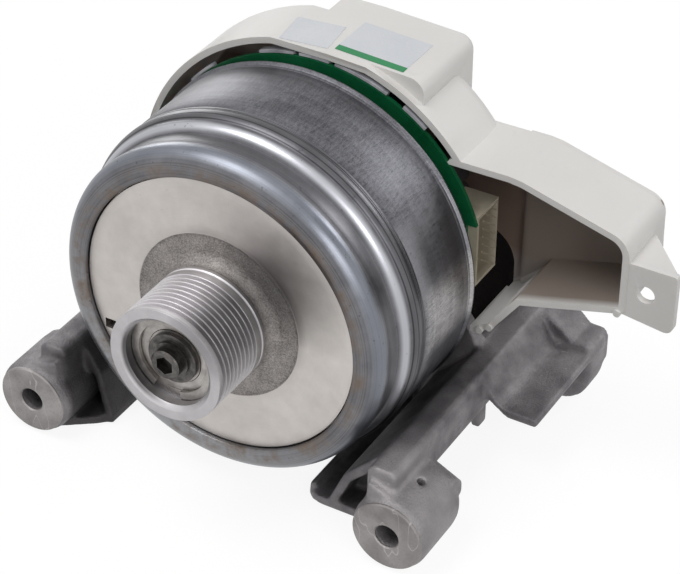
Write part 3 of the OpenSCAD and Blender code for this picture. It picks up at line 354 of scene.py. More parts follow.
pin_hole = (76.2, 5.0, -44.1)
bore(casting, pin_hole, radius=1.5, length=12.0, tilt=(0, 26))
settle(casting, 180)
dress(casting, "frame", "cast_aluminium", "foot_frame", "stator_carrier", "rear_wall")
print(f"casting: {len(casting.data.polygons)} faces")

# %% [markdown]
# The bolt faces are milled after casting, so they are flat, bright and scratched. They could be a
# patch of paint on the casting, but its skin is too soft for a sharp edge. Each is a turned ring
# that lies in the casting's face, with a crisp chamfer at its hole.

# %% Model the milled bolt faces
bolt_r = 4.5
front_face = {"x": 72.9, "z": -56.8, "y": -12.25, "outer_r": 13.2, "inward": 1, "depth": 6}
rear_face = {"x": 80.5, "z": -58.5, "y": 120.0, "outer_r": 7.4, "inward": -1, "depth": 4}


def milled_face(name, side, x, z, y, outer_r, inward, depth):
    """A ring round a bolt hole. inward is +1 where the casting lies behind the face."""
    chamfer_y, back = y + inward * 0.5, y + inward * depth
    section = [(bolt_r, chamfer_y), (bolt_r + 0.4, y), (outer_r - 0.5, y), (outer_r, chamfer_y)]
    section += [(outer_r, back), (bolt_r, back)]
    ring = turn(name, section, 96, (side * x, z))
    dress(ring, "frame", "cast_aluminium")
    return ring


milled = []
for end, face in (("front", front_face), ("rear", rear_face)):
    milled.append(milled_face(f"face_{end}_right", 1, **face))
    milled.append(milled_face(f"face_{end}_left", -1, **face))

# %% [markdown]
# The cover is moulded in pale plastic of an even thickness. A bent sheet with a Solidify modifier
# would fold over itself in the tight corners. So it is made as a mould maker would: the outer form
# is a round band, a wing and a raised box, each with its rear edges well rounded, and the same
# three forms, one wall smaller, are then taken out of its inside.

# %% Outlines of the cover
cover_r, cover_shift, cover_top = 72.3, 1.2, 70.2
cover_front, cover_rear, cover_wall = 65.0, 99.0, 2.4
slope, slope_start = math.radians(3), 4.0
wing_top, wing_x, wing_round = 44.0, 119.6, 8.6
wing_bend_x, wing_bend_z, wing_tip_x, wing_tip_z = 81.0, -6.2, 66.0, -24.0
wing_fall, wing_level_x = math.radians(15.4), 76.8
wing_slope = math.tan(wing_fall)
band_low = -20.0
inner_low, inner_right, inner_left = -24.0, 42.0, 16.0
hump_left, hump_right, hump_low = -11.0, 40.0, 41.0
hump_front, hump_rear, hump_round = 68.0, 107.5, 6.0
band_rear_round, wing_rear_round, hump_rear_round = 10.0, 6.2, 5.2


def top_z(x):
    """Height of the cover's top, which slopes down to the right."""
    return cover_top - math.tan(slope) * max(0.0, x - slope_start)


def wing_z(x):
    """Height of the wing's sloping top."""
    return wing_top + 0.4 - wing_slope * max(0.0, x - wing_level_x)


def inset(points, distance):
    """The outline moved inwards. Its points run anticlockwise."""
    corners = [Vector(p) for p in points]
    steps = [(b - a).normalized() for a, b in zip(corners, corners[1:] + corners[:1])]
    normals = [Vector((-step.y, step.x)) for step in steps]
    moved = []
    for corner, before, after in zip(corners, normals[-1:] + normals[:-1], normals):
        moved.append(tuple(corner + (before + after) * distance / (1 + before.dot(after))))
    return moved


def angle_of(height):
    """The angle, in degrees, at which the round band reaches a height."""
    return math.degrees(math.asin(height / cover_r))


wing_root_angle = angle_of(wing_top)
fall = math.tan(slope)
top_c = cover_top + fall * (slope_start + cover_shift)
meet_u = (fall * top_c + math.sqrt(cover_r**2 * (1 + fall**2) - top_c**2)) / (1 + fall**2)
meet_angle = math.degrees(math.acos(meet_u / cover_r))
band_outline = (
    [(inner_right, band_low), (inner_right, 30.0)]
    + arc(-cover_shift, 0, cover_r, wing_root_angle, meet_angle, 14)
    + [(slope_start, cover_top)]
    + arc(-cover_shift, 0, cover_r, 180 - angle_of(cover_top), 180 - angle_of(band_low), 44)
)
round_x = wing_x - wing_round
round_z = wing_z(round_x) - wing_round / math.cos(wing_fall)
low_cut = 1.5
low_end_z = wing_bend_z + wing_slope * (wing_x - low_cut - wing_bend_x)
wing_outline = (
    [(wing_tip_x - 2, wing_tip_z), (wing_tip_x + 5, wing_tip_z + 4), (wing_bend_x, wing_bend_z)]
    + [(wing_x - low_cut, low_end_z), (wing_x, low_end_z + 1.8)]
    + arc(round_x, round_z, wing_round, 0, 90 - math.degrees(wing_fall), 10)
    + [(wing_level_x + 2.5, wing_z(wing_level_x + 2.5) - 0.1), (wing_level_x - 2.5, wing_top + 0.2)]
    + [(cover_r * math.cos(math.radians(wing_root_angle)) - cover_shift, wing_top)]
    + [(inner_left, wing_top), (inner_left, inner_low)]
)
hump_outline = (
    [(hump_left, hump_low), (hump_right, hump_low)]
    + arc(hump_right - hump_round, top_z(hump_right - hump_round) - hump_round, hump_round, 0, 87, 8)
    + [(slope_start, cover_top), (hump_left, cover_top)]
)
print(f"the slope meets the round wall at {meet_angle:.1f} degrees")

# %% Helpers for moulded forms


def thicken(step):
    """Fills the outline that has just been drawn and extrudes it by step."""
    bpy.ops.mesh.edge_face_add()
    extrude(step)
    bpy.ops.mesh.select_all(action="SELECT")
    bpy.ops.mesh.normals_make_consistent(inside=False)


def prism(name, outline, start, end):
    """An outline of x and z, drawn out along Y from start to end."""
    piece = draw_outline(name, [(x * MM, start * MM, z * MM) for x, z in outline])
    thicken((0, (end - start) * MM, 0))
    activate(piece)
    bpy.ops.object.transform_apply(location=True, rotation=True, scale=True)
    return piece


def round_edges(piece, test, radius, segments=7):
    """Rounds the edges that pass the test."""
    edit(piece)
    choose_edges(piece, test)
    bpy.ops.mesh.bevel(offset=radius * MM, segments=segments, affect="EDGES", clamp_overlap=False)
    deselect()


def combine(piece, other, operation):
    """A boolean with another piece, which is used up."""
    apply_modifier(piece, "BOOLEAN", operation=operation, solver="EXACT", object=other)
    bpy.data.objects.remove(other)


def at_rear(edge, y):
    """True for an edge that lies in the plane at y millimetres."""
    return all(abs(vert.co.y - y * MM) < 0.01 * MM for vert in edge.verts)


def outside_wing(point):
    """True for a point on the band's own outer outline."""
    return point.x < (inner_right - 6) * MM or point.z > 40 * MM


def on_band(edge):
    """True for an edge along the band's outer outline."""
    return all(outside_wing(v.co) for v in edge.verts)


def on_wing(edge):
    """True for an edge along the wing's top or outer side."""
    return all(v.co.z > 5 * MM for v in edge.verts) and any(v.co.x > 50 * MM for v in edge.verts)


def on_hump(edge):
    """True for an edge of the raised box, apart from its lowest one."""
    return any(v.co.z > (hump_low + 4) * MM for v in edge.verts)


def cover_forms(name, wall, start):
    """The cover's three forms, made one wall thickness smaller for its inside."""
    band_end, hump_end = cover_rear - wall, hump_rear - wall
    band = prism(name, inset(band_outline, wall), start, band_end)
    round_edges(band, lambda e: at_rear(e, band_end) and on_band(e), band_rear_round - wall, 9)
    wing = prism(name + "_wing", inset(wing_outline, wall), start, band_end)
    round_edges(wing, lambda e: at_rear(e, band_end) and on_wing(e), wing_rear_round - wall)
    combine(band, wing, "UNION")
    hump = prism(name + "_hump", inset(hump_outline, wall), hump_front + wall, hump_end)
    round_edges(hump, lambda e: at_rear(e, hump_end) and on_hump(e), hump_rear_round - wall)
    combine(band, hump, "UNION")
    return band


print("mould ready")

# %% Mould the cover's shell
cover = cover_forms("cover_shell", 0.0, cover_front)
combine(cover, cover_forms("cover_core", cover_wall, cover_front - 2), "DIFFERENCE")
print(f"shell: {len(cover.data.polygons)} faces")

# %% Cut the cover's openings
arch_x, arch_z, arch_r, hole_r = 49.5, -14.5, 14.0, 30.0
opening_left, opening_top, cut_low = -58.0, -12.0, -40.0
rear_opening = [(opening_left, cut_low), (arch_x + arch_r, cut_low)]
rear_opening += arc(arch_x, arch_z, arch_r, 5, 100, 14)
rear_opening += arc(0, 0, hole_r, 14, 200, 40) + [(opening_left, opening_top)]
combine(cover, prism("rear_cut", rear_opening, cover_rear - 6, cover_rear + 4), "DIFFERENCE")
under_left, under_right, under_top = cover_wall - cover_r, wing_tip_x - 3.5, -13.0
under = [(under_left, cut_low), (under_right, cut_low), (under_right, under_top), (under_left, under_top)]
combine(cover, prism("under_cut", under, cover_front - 2, cover_rear - cover_wall), "DIFFERENCE")
lug_r = 42.0
for lug_angle in (15, 120, 165):
    a = math.radians(lug_angle)
    place = (lug_r * math.cos(a), cover_rear, lug_r * math.sin(a))
    bore(cover, place, radius=2.2, length=12.0, tilt=(90, 0))
print(f"openings cut: {len(cover.data.polygons)} faces")

# %% Add the step inside the wing
step_x, step_y, step_inset = 67.0, 93.6, 1.3


def at_step(edge):
    """True for the upright edge at the front of the step."""
    return all(abs(v.co.x - step_x * MM) < 0.01 * MM and v.co.y < (step_y + 0.4) * MM for v in edge.verts)


step = prism("wing_step", inset(wing_outline, step_inset), step_y, cover_rear - 1.6)
left_of_step = [(0, -60), (step_x, -60), (step_x, 60), (0, 60)]
combine(step, prism("step_cut", left_of_step, 60, 120), "DIFFERENCE")
round_edges(step, at_step, 1.6, 4)
combine(cover, step, "UNION")
print(f"cover with its step: {len(cover.data.polygons)} faces")

# %% Add the tab and the nubs
tab_end, tab_low, tab_high, tab_t = wing_x + 17.4, 2.4, 25.0, 3.0
tab = [(wing_x - 1, tab_low + 1.6), (tab_end - 3.4, tab_low - 0.4)]
tab += arc(tab_end - 3.0, tab_low + 2.6, 3.0, -90, 0, 6) + arc(tab_end - 1.2, tab_high - 1.2, 1.2, 0, 90, 4)
tab += [(wing_x - 1, tab_high)]
combine(cover, prism("tab_plate", tab, cover_front + 0.3, cover_front + tab_t), "UNION")
tab_hole = (126.3, cover_front, 14.5)
bore(cover, tab_hole, radius=3.3, length=12.0, tilt=(90, 0))
gusset_front, gusset_rear, gusset_z = cover_front + 0.4, cover_front + 20, tab_high - tab_t
gusset_outline = [
    (wing_x - 1, gusset_front),
    (tab_end - 0.8, gusset_front),
    (tab_end - 0.8, gusset_front + 2),
    (wing_x + 1, gusset_rear),
    (wing_x - 1, gusset_rear),
]
gusset = draw_outline("gusset", [(x * MM, y * MM, gusset_z * MM) for x, y in gusset_outline])
thicken((0, 0, tab_t * MM))
settle(gusset)
combine(cover, gusset, "UNION")
nub_r, nub_length = 1.3, 4.0
nub_places = ((wing_tip_x + 0.3, wing_tip_z + 2), (wing_tip_x + 4, wing_tip_z + 4.4), (wing_x - 2.6, 4.0))
for nub_x, nub_z in nub_places:
    deselect()
    place = (nub_x * MM, (cover_front + 1.2) * MM, nub_z * MM)
    bpy.ops.mesh.primitive_cylinder_add(
        vertices=24,
        radius=nub_r * MM,
        depth=nub_length * MM,
        location=place,
        rotation=(math.pi / 2, 0, 0),
    )
    nub = bpy.context.object
    settle(nub)
    combine(cover, nub, "UNION")
print(f"cover with its tab: {len(cover.data.polygons)} faces")

# %% Soften the rim
edit(cover)
bpy.ops.mesh.select_all(action="SELECT")
bpy.ops.mesh.remove_doubles(threshold=0.01 * MM)
bpy.ops.mesh.dissolve_limited(angle_limit=math.radians(0.4))
deselect()
soft_edge = {"width": 0.7 * MM, "segments": 3, "use_clamp_overlap": True, "harden_normals": False}
apply_modifier(cover, "BEVEL", limit_method="ANGLE", angle_limit=math.radians(40), **soft_edge)
settle(cover, 34)
dress(cover, "frame", "cover_plastic", "rear_cover")
print(f"cover: {len(cover.data.polygons)} faces")

# %% [markdown]
# Finishes come next. A material is a small calculation on the place of a point. Its nodes could be
# added and linked one by one, but that hides the calculation. So one class wraps a node's output
# and lets plain Python expressions add the Math nodes.

# %% A class for shader maths


class Wire:
    """The output of a node. Arithmetic on it adds Math nodes."""

    def __init__(self, paint, socket):
        self.paint = paint
        self.socket = socket

    def __add__(self, other):
        return self.paint.math("ADD", self, other)

    def __sub__(self, other):
        return self.paint.math("SUBTRACT", self, other)

    def __rsub__(self, other):
        return self.paint.math("SUBTRACT", other, self)

    def __mul__(self, other):
        return self.paint.math("MULTIPLY", self, other)

    def __truediv__(self, other):
        return self.paint.math("DIVIDE", self, other)

    __radd__ = __add__
    __rmul__ = __mul__


def shade(red, green, blue):
    """A linear colour from the 0 to 255 values that a picture shows."""
    values = [c / 255 for c in (red, green, blue)]
    linear = [v / 12.92 if v <= 0.04045 else ((v + 0.055) / 1.055) ** 2.4 for v in values]
    return (*linear, 1.0)


class Paint:
    """A material in the making, with the place of a point in millimetres."""

    def __init__(self, name):
        self.material = bpy.data.materials.new(name)
        self.material.use_nodes = True
        self.tree = self.material.node_tree
        self.tree.nodes.clear()
        metres = Wire(self, self.tree.nodes.new("ShaderNodeTexCoord").outputs["Object"])
        scaled = {0: metres, "Scale": 1 / MM}
        self.place = self.node("ShaderNodeVectorMath", {"operation": "SCALE"}, scaled)
        parts = [self.node("ShaderNodeSeparateXYZ", {}, {0: self.place}, out) for out in (0, 1, 2)]
        self.x, self.y, self.z = parts

    def node(self, kind, settings, inputs, out=0):
        """Adds a node: settings first, then values or links for its inputs."""
        made = self.tree.nodes.new(kind)
        for key, value in settings.items():
            setattr(made, key, value)
        for key, value in inputs.items():
            if isinstance(value, Wire):
                self.tree.links.new(value.socket, made.inputs[key])
            else:
                made.inputs[key].default_value = value
        return Wire(self, made.outputs[out])

    def math(self, operation, a, b=0.0, c=0.0):
        """One Math node."""
        return self.node("ShaderNodeMath", {"operation": operation}, {0: a, 1: b, 2: c})

    def clamp(self, value, low=0.0, high=1.0):
        """Maps low to high onto 0 to 1 and keeps it there."""
        inputs = {"Value": value, "From Min": low, "From Max": high}
        return self.node("ShaderNodeMapRange", {"clamp": True}, inputs)

    def between(self, value, start, full, fade, end):
        """1 from full to fade, falling to 0 at start and at end."""
        return self.clamp(value, start, full) * (1 - self.clamp(value, fade, end))

    def toward(self, dx, dz, start, full):
        """Rises from 0 to 1 on the side of the motor that lies toward dx, dz."""
        return self.clamp((self.x * dx + self.z * dz) / self.radius(), start, full)

    def vector(self, x, y, z):
        """A vector from three values or wires."""
        return self.node("ShaderNodeCombineXYZ", {}, {0: x, 1: y, 2: z})

    def noise(self, scale, detail=3.0, roughness=0.55, at=None):
        """Cloudy noise from 0 to 1. scale is in features per millimetre."""
        inputs = {"Vector": at or self.place, "Scale": scale, "Detail": detail, "Roughness": roughness}
        return self.node("ShaderNodeTexNoise", {}, inputs)

    def stretched(self, sx, sy, sz):
        """The place, scaled by its own factor along each axis."""
        return self.vector(self.x * sx, self.y * sy, self.z * sz)

    def radius(self):
        """Distance from the motor's axis."""
        return self.math("SQRT", self.x * self.x + self.z * self.z)

    def mix(self, factor, a, b):
        """Blends two colours, or values linked as colours."""
        return self.node("ShaderNodeMix", {"data_type": "RGBA"}, {0: factor, 6: a, 7: b}, 2)

    def bump(self, height, distance, normal=None):
        """A normal from a height in millimetres times distance, over another normal if given."""
        inputs = {"Height": height, "Distance": distance * MM, "Strength": 1.0}
        if normal:
            inputs["Normal"] = normal
        return self.node("ShaderNodeBump", {}, inputs)

    def finish(self, colour, roughness, normal, **constants):
        """Adds the shader. constants are numbers for its other inputs."""
        inputs = {"Base Color": colour, "Roughness": roughness}
        inputs.update({key.replace("_", " "): value for key, value in constants.items()})
        inputs["Normal"] = normal
        shader = self.node("ShaderNodeBsdfPrincipled", {}, inputs)
        self.node_output(shader)
        return self.material

    def node_output(self, shader):
        """Makes the shader the material's surface."""
        output = self.tree.nodes.new("ShaderNodeOutputMaterial")
        self.tree.links.new(shader.socket, output.inputs["Surface"])


print("shader maths ready")

# %% [markdown]
# Zinc-plated sheet steel is bluish grey and cloudy. Drawing the drum left scratches along its
# wall and rings round its beads, and the front edge has gone a little brown from handling. Noise
# that is stretched along the axis makes the scratches, and noise on the radius makes the rings.
# The broad light and dark zones are painted too, as the soft room alone is too even for them.

# %% Finish the drum


def drum_finish():
    """Scratched sheet steel on the wall, and smoother beads and rings in front of it."""
    p = Paint("drum_zinc")
    r = p.radius()
    clouds = p.noise(0.035, 4.0, 0.6)
    patches = p.noise(0.09, 4.0, 0.6)
    strokes = p.noise(1.0, 5.0, 0.78, p.stretched(1.3, 0.22, 1.3))
    speck = p.noise(1.0, 4.0, 0.78, p.stretched(3.6, 1.1, 3.6))
    rings = p.noise(1.0, 2.0, 0.5, p.vector(r * 1.6, p.y * 1.6, 0.0))
    bands = p.noise(1.0, 3.0, 0.6, p.vector(p.y * 0.3, clouds * 0.6, 0.0))
    on_wall = p.clamp(r, wall_r - 0.6, wall_r - 0.15) * p.clamp(p.y, 24.6, 25.6)
    tone = p.clamp(strokes * 0.36 + speck * 0.36 + patches * 0.1 + bands * 0.18, 0.39, 0.61)
    steel = p.mix(tone, shade(56, 56, 60), shade(120, 120, 125))
    # painted reflection: the wall is lighter a little above its right side
    steel = p.mix(p.toward(0.93, 0.37, 0.96, 0.99) * 0.4, steel, shade(158, 158, 162))
    # painted reflection: a bright streak on the wall's right side, ragged along the scratches
    gleam = p.toward(1.0, 0.03, 0.974, 0.992) * p.clamp(p.y + strokes * 8.0, 28.0, 36.0)
    steel = p.mix(gleam * 0.8, steel, p.mix(tone, shade(120, 118, 118), shade(206, 203, 203)))
    soft = p.clamp(rings * 0.3 + clouds * 0.3 + patches * 0.25 + speck * 0.15, 0.4, 0.6)
    smooth = p.mix(soft, shade(86, 86, 89), shade(128, 128, 132))
    # painted highlight: a bluish light band on the front bead
    bead_highlight = p.between(p.y, -1.6, 0.6, 4.0, 6.2)
    smooth = p.mix(bead_highlight * 0.6, smooth, shade(124, 129, 139))
    # painted shade in the recessed waist
    waist_shade = p.between(p.y, 6.2, 8.0, 12.0, 13.8)
    smooth = p.mix(waist_shade * 0.5, smooth, shade(74, 74, 77))
    # painted highlight along the shoulder's front
    shoulder_highlight = p.between(p.y, 13.7, 14.6, 16.0, 17.2)
    smooth = p.mix(shoulder_highlight * 0.8, smooth, shade(186, 187, 193))
    # painted shade: a darker band over the fine rings
    rings_shade = p.between(p.y, 17.2, 18.6, 24.4, 25.2)
    smooth = p.mix(rings_shade * 0.6, smooth, shade(84, 84, 87))
    # painted reflection: the front bead is lighter toward the lower left
    low_left_highlight = p.toward(-0.5, -0.87, 0.1, 0.9) * (1 - p.clamp(p.y, 4.0, 8.0))
    smooth = p.mix(low_left_highlight * 0.55, smooth, shade(168, 169, 172))
    # painted shade: a thin dark line in each groove and step
    for line_y in groove_shade_lines:
        line = 1 - p.clamp(p.math("ABSOLUTE", p.y - line_y), 0.08, 0.3)
        smooth = p.mix(line * 0.75, smooth, shade(36, 36, 39))
    colour = p.mix(on_wall, smooth, steel)
    front_edge = (1 - p.clamp(p.y, -1.2, 1.0)) * (1 - p.clamp(r, 56.5, 59.5))
    brown = front_edge * p.clamp(patches * 0.6 + p.noise(0.3, 5.0, 0.65) * 0.4, 0.42, 0.6)
    colour = p.mix(brown * 0.8, colour, shade(110, 96, 84))
    spots = p.clamp(p.noise(0.55, 3.0, 0.6), 0.66, 0.72)
    colour = p.mix(spots * 0.5, colour, shade(52, 52, 55))
    plain = p.clamp(clouds * 0.5 + patches * 0.5, -0.35, 1.9)
    rough = p.mix(on_wall, plain, p.clamp(strokes * 0.5 + speck * 0.5, -0.3, 1.6))
    height = on_wall * (strokes * 0.5 + speck * 0.5) + rings * 0.25
    return p.finish(colour, rough, p.bump(height, 0.08), Metallic=1.0)


drum.data.materials.append(drum_finish())
print("drum finished")

# %% [markdown]
# Turned aluminium shows the tool's rings as very fine circles with broad pale clouds between,
# and the ring left as cast is grainy and duller. Both are on one piece, so the distance from the
# axis decides which finish a point gets. Turned metal also shows fans of light and dark round its
# centre. They could come from stretched reflections, but here one dark fan is painted, since the
# baked finish can only keep what is in its colour.

# %% Finish the hub


def hub_finish():
    """Bright turned aluminium, a cast ring on the disc, and the pulley."""
    p = Paint("hub_aluminium")
    r = p.radius()
    cast = p.clamp(cast_r + 0.2 - r, 0.0, 0.35) * p.between(p.y, -4.3, -4.0, 0.6, 1.5)
    rings = p.noise(1.0, 2.0, 0.5, p.vector(r * 4.0, p.y * 4.0, 0.0))
    clouds = p.noise(0.03, 4.0, 0.55)
    smear = p.noise(0.16, 5.0, 0.62)
    grain = p.noise(1.7, 3.0, 0.7)
    cloudy = p.clamp(clouds * 0.5 + smear * 0.3 + rings * 0.2, 0.4, 0.62)
    bright = p.mix(cloudy, shade(184, 179, 175), shade(206, 201, 197))
    # painted reflection: a dark fan toward the upper right
    fan = p.toward(0.74, 0.67, 0.72, 1.0)
    bright = p.mix(fan * (1 - p.clamp(r, 32.0, 52.0) * 0.75) * 0.8, bright, shade(92, 89, 88))
    stain = p.clamp(p.noise(0.4, 4.0, 0.7), 0.62, 0.74)
    bright = p.mix(stain * 0.2, bright, shade(126, 120, 113))
    pulley = (1 - p.clamp(p.y, -5.0, -4.0)) * (1 - p.clamp(r, 22.0, 23.0))
    bright = p.mix(pulley, bright, p.mix(smear, shade(164, 161, 163), shade(200, 198, 200)))
    # painted reflection: the dark fan on the pulley
    bright = p.mix(pulley * fan * 0.5, bright, shade(84, 82, 84))
    behind_face = p.clamp(p.y, pulley_front + 0.5, pulley_front + 1.0)
    # painted highlight on the upper side of the pulley's grooves
    crown_highlight = pulley * behind_face * p.toward(-0.34, 0.94, 0.55, 1.0)
    bright = p.mix(crown_highlight * 0.7, bright, shade(232, 229, 232))
    # painted shadow on the lower left of the pulley's bore
    bore_shadow = pulley * (1 - p.clamp(r, mouth_r - 0.9, mouth_r - 0.2)) * p.toward(-0.95, -0.3, 0.3, 0.85)
    bright = p.mix(bore_shadow * 0.8, bright, shade(52, 51, 52))
    dull = p.mix(p.clamp(grain * 0.7 + smear * 0.3, 0.36, 0.66), shade(106, 102, 100), shade(182, 177, 174))
    # painted reflection: the dark fan on the cast ring
    dull = p.mix(fan * 0.6, dull, shade(70, 68, 68))
    colour = p.mix(cast, bright, dull)
    polished = p.clamp(rings * 0.3 + clouds * 0.3 + smear * 0.4, -0.55, 1.75)
    rough = p.mix(cast, polished, p.clamp(grain, -1.3, 1.6))
    fine = p.bump(rings * (1 - cast), 0.012)
    normal = p.bump(grain * cast, 0.28, fine)
    return p.finish(colour, rough, normal, Metallic=1.0)


hub.data.materials.append(hub_finish())
print("hub finished")

# %% [markdown]
# Cast aluminium is dark grey, grainy to the touch and cloudy, with pale scratches where it has
# rubbed on a crate. The milled faces are paler and smoother, so one function makes both finishes.
# The deep corners by the left foot and behind the drum look almost black in the photograph. The
# bright room would light them up, so they are painted darker.

# %% Finish the casting


def cast_finish(name, is_milled):
    """The grey of the casting, or of the faces that are milled on it."""
    p = Paint(name)
    clouds = p.noise(0.028, 4.0, 0.6)
    patches = p.noise(0.11, 4.0, 0.6)
    grain = p.noise(1.25, 3.0, 0.7)
    scratch = p.noise(1.0, 2.0, 0.5, p.stretched(0.22, 1.3, 0.5))
    # the third value is how strongly the painted highlight lights the right front foot
    if is_milled:
        dark, pale, boss_highlight_weight = shade(118, 114, 113), shade(162, 158, 157), 0.1
        smoothest, grain_depth = -0.7, 0.05
    else:
        dark, pale, boss_highlight_weight = shade(90, 88, 90), shade(140, 137, 139), 0.35
        smoothest, grain_depth = -1.0, 0.26
    colour = p.mix(p.clamp(clouds * 0.6 + patches * 0.4, 0.36, 0.66), dark, pale)
    colour = p.mix(p.clamp(grain, 0.55, 0.8) * 0.35, colour, shade(96, 95, 97))
    rubbed = p.clamp(scratch, 0.69, 0.74) * p.clamp(patches, 0.5, 0.66)
    colour = p.mix(rubbed, colour, shade(172, 170, 170))
    if is_milled:
        marks = p.math("ABSOLUTE", p.noise(0.1, 2.0, 0.5, p.stretched(1.0, 1.0, 0.3)) - 0.5)
        colour = p.mix((1 - p.clamp(marks, 0.002, 0.006)) * 0.45, colour, shade(196, 194, 193))
    # painted shade in the hollow beside the left foot
    left_web_shade = p.between(p.x, -68.0, -64.0, -46.0, -40.0) * p.between(p.y, -9.5, -6.0, 30.0, 44.0)
    left_web_shade = left_web_shade * (1 - p.clamp(p.z, -38.0, -34.0))
    colour = p.mix(left_web_shade * 0.75, colour, shade(40, 38, 38))
    # painted highlight on the right front foot
    right_boss_highlight = p.clamp(p.x, 60.0, 66.0) * (1 - p.clamp(p.y, 6.0, 16.0))
    colour = p.mix(right_boss_highlight * boss_highlight_weight, colour, shade(178, 174, 174))
    # painted shade in the deep corner behind the drum
    deep = p.between(p.x, 30.0, 34.0, 68.0, 70.0) * p.between(p.y, 104.0, 107.0, 110.6, 111.6)
    colour = p.mix(deep * p.clamp(p.z, -58.0, -54.0), colour, shade(30, 25, 24))
    rough = p.clamp(clouds * 0.4 + grain * 0.6, smoothest, 1.5)
    normal = p.bump(grain + patches * 0.8, grain_depth)
    return p.finish(colour, rough, normal, Metallic=0.9)


casting.data.materials.append(cast_finish("cast_grey", False))
milled_paint = cast_finish("cast_milled", True)
for ring in milled:
    ring.data.materials.append(milled_paint)
print("casting finished")

# %% [markdown]
# The cover is warm white plastic with a very fine spark-eroded grain, and lets a little light
# through where it is thin. Inside the wing the photograph shows it brown in the shade, so the
# points between the wing's floor, its roof and its end wall are painted that way.

# %% Finish the cover


def cover_finish():
    """Warm white outside, and a shaded brown inside the wing and the band."""
    p = Paint("cover_plastic")
    clouds = p.noise(0.02, 3.0, 0.5)
    grain = p.noise(2.6, 2.0, 0.6)
    dust = p.clamp(p.noise(0.16, 5.0, 0.65), 0.6, 0.8)
    colour = p.mix(p.clamp(clouds, 0.3, 0.7), shade(214, 212, 209), shade(221, 219, 216))
    colour = p.mix(dust * 0.25, colour, shade(188, 181, 171))
    roof = p.math("MAXIMUM", p.z, p.z + (p.x - wing_level_x) * wing_slope)
    under_top = 1 - p.clamp(roof, wing_top - 2.3, wing_top - 1.9)
    floor_line = (p.x - wing_bend_x) * wing_slope
    leg_line = (p.x - wing_bend_x) * 0.9
    lowest = p.math("MINIMUM", floor_line, leg_line)
    over_floor = p.clamp(p.z - lowest, wing_bend_z + 1.0, wing_bend_z + 1.8)
    in_wing = under_top * p.between(p.x, 60.0, 64.0, wing_x - 2.3, wing_x - 1.9)
    in_band = (1 - p.clamp(p.radius(), cover_r - 4.0, cover_r - 3.2)) * (1 - p.clamp(p.z, 38.0, 43.0))
    deep = p.between(p.y, 65.4, 69.0, cover_rear - 1.6, cover_rear - 1.0)
    lower = p.clamp(p.z, -24.0, -6.0) * 0.75 + 0.25
    inside = p.math("MAXIMUM", in_wing, in_band) * over_floor * deep * lower
    shaded = p.mix(p.clamp(p.x, 65.0, 70.0), shade(104, 72, 50), shade(128, 111, 99))
    colour = p.mix(inside * 0.85, colour, shaded)
    rough = p.clamp(grain * 0.6 + clouds * 0.4, -0.9, 1.6)
    reach = (0.004, 0.003, 0.002)
    under_skin = {"Subsurface_Weight": 0.12, "Subsurface_Radius": reach, "Subsurface_Scale": 1.0}
    return p.finish(colour, rough, p.bump(grain, 0.03), IOR=1.47, **under_skin)


cover.data.materials.append(cover_finish())
print("cover finished")

# %% [markdown]
# The CAD nodes that keep their own shape need finishes too. One function makes a plain metal and
# one a plain plastic, each with its own colours, clouds and grain, so that no surface is a flat
# single colour. The windings, the laminations, the board, the labels and the connector each have
# something more to show, such as turns of wire or sheets, and get a function of their own.

# %% Plain metals and plastics


def small_metal(name, dark, pale, scale, rough_low, rough_high):
    """Turned metal with fine rings. scale is that of its clouds."""
    p = Paint(name)
    r = p.radius()
    clouds = p.noise(scale, 4.0, 0.6)
    rings = p.noise(1.0, 2.0, 0.5, p.vector(r * 5.0, p.y * 5.0, 0.0))
    colour = p.mix(p.clamp(clouds * 0.7 + rings * 0.3, 0.35, 0.65), dark, pale)
    rough = rings * (rough_high - rough_low) + rough_low
    return p.finish(colour, rough, p.bump(rings, 0.006), Metallic=1.0)


def small_plastic(name, dark, pale, scale, rough):
    """Moulded plastic with a fine grain. scale is that of its clouds."""
    p = Paint(name)
    clouds = p.noise(scale, 4.0, 0.6)
    grain = p.noise(2.0, 2.0, 0.6)
    colour = p.mix(p.clamp(clouds, 0.35, 0.65), dark, pale)
    return p.finish(colour, grain * 0.2 + (rough - 0.1), p.bump(grain, 0.02), IOR=1.48)


print("plain finishes ready")

# %% Finishes with a pattern


def wound_copper():
    """Copper wire, whose turns show as waves."""
    p = Paint("copper_wire")
    turns = p.math("SINE", p.y * 7.0 + p.radius() * 7.0)
    colour = p.mix(p.clamp(turns, -1.0, 1.0), shade(120, 62, 34), shade(186, 108, 66))
    return p.finish(colour, p.clamp(turns, -4.0, 3.0), p.bump(turns, 0.08), Metallic=0.8)


def stacked_sheet():
    """Steel sheets stacked along the axis."""
    p = Paint("laminations")
    sheets = p.math("SINE", p.y * 9.0)
    colour = p.mix(p.clamp(sheets, -1.0, 1.0), shade(74, 75, 79), shade(126, 127, 132))
    return p.finish(colour, p.clamp(sheets, -4.0, 4.0), p.bump(sheets, 0.05), Metallic=1.0)


def board_finish():
    """Green lacquer over thin winding tracks."""
    p = Paint("board_green")
    clouds = p.noise(0.05)
    tracks = p.noise(0.35, 2.0, 0.4)
    lines = p.clamp(p.math("ABSOLUTE", tracks - 0.5), 0.012, 0.02)
    colour = p.mix(p.clamp(clouds, 0.3, 0.7), shade(6, 74, 42), shade(12, 96, 58))
    colour = p.mix((1 - lines) * 0.5, colour, shade(12, 98, 58))
    return p.finish(colour, clouds * 0.2 + 0.28, p.bump(lines, 0.02), Coat_Weight=0.3)


def label_finish(name, pale, dark):
    """Blank label paper with faint fibres."""
    p = Paint(name)
    clouds = p.noise(0.06)
    fibre = p.noise(1.4, 3.0, 0.6)
    colour = p.mix(p.clamp(clouds * 0.5 + fibre * 0.5, 0.35, 0.65), dark, pale)
    return p.finish(colour, fibre * 0.15 + 0.32, p.bump(clouds, 0.06))


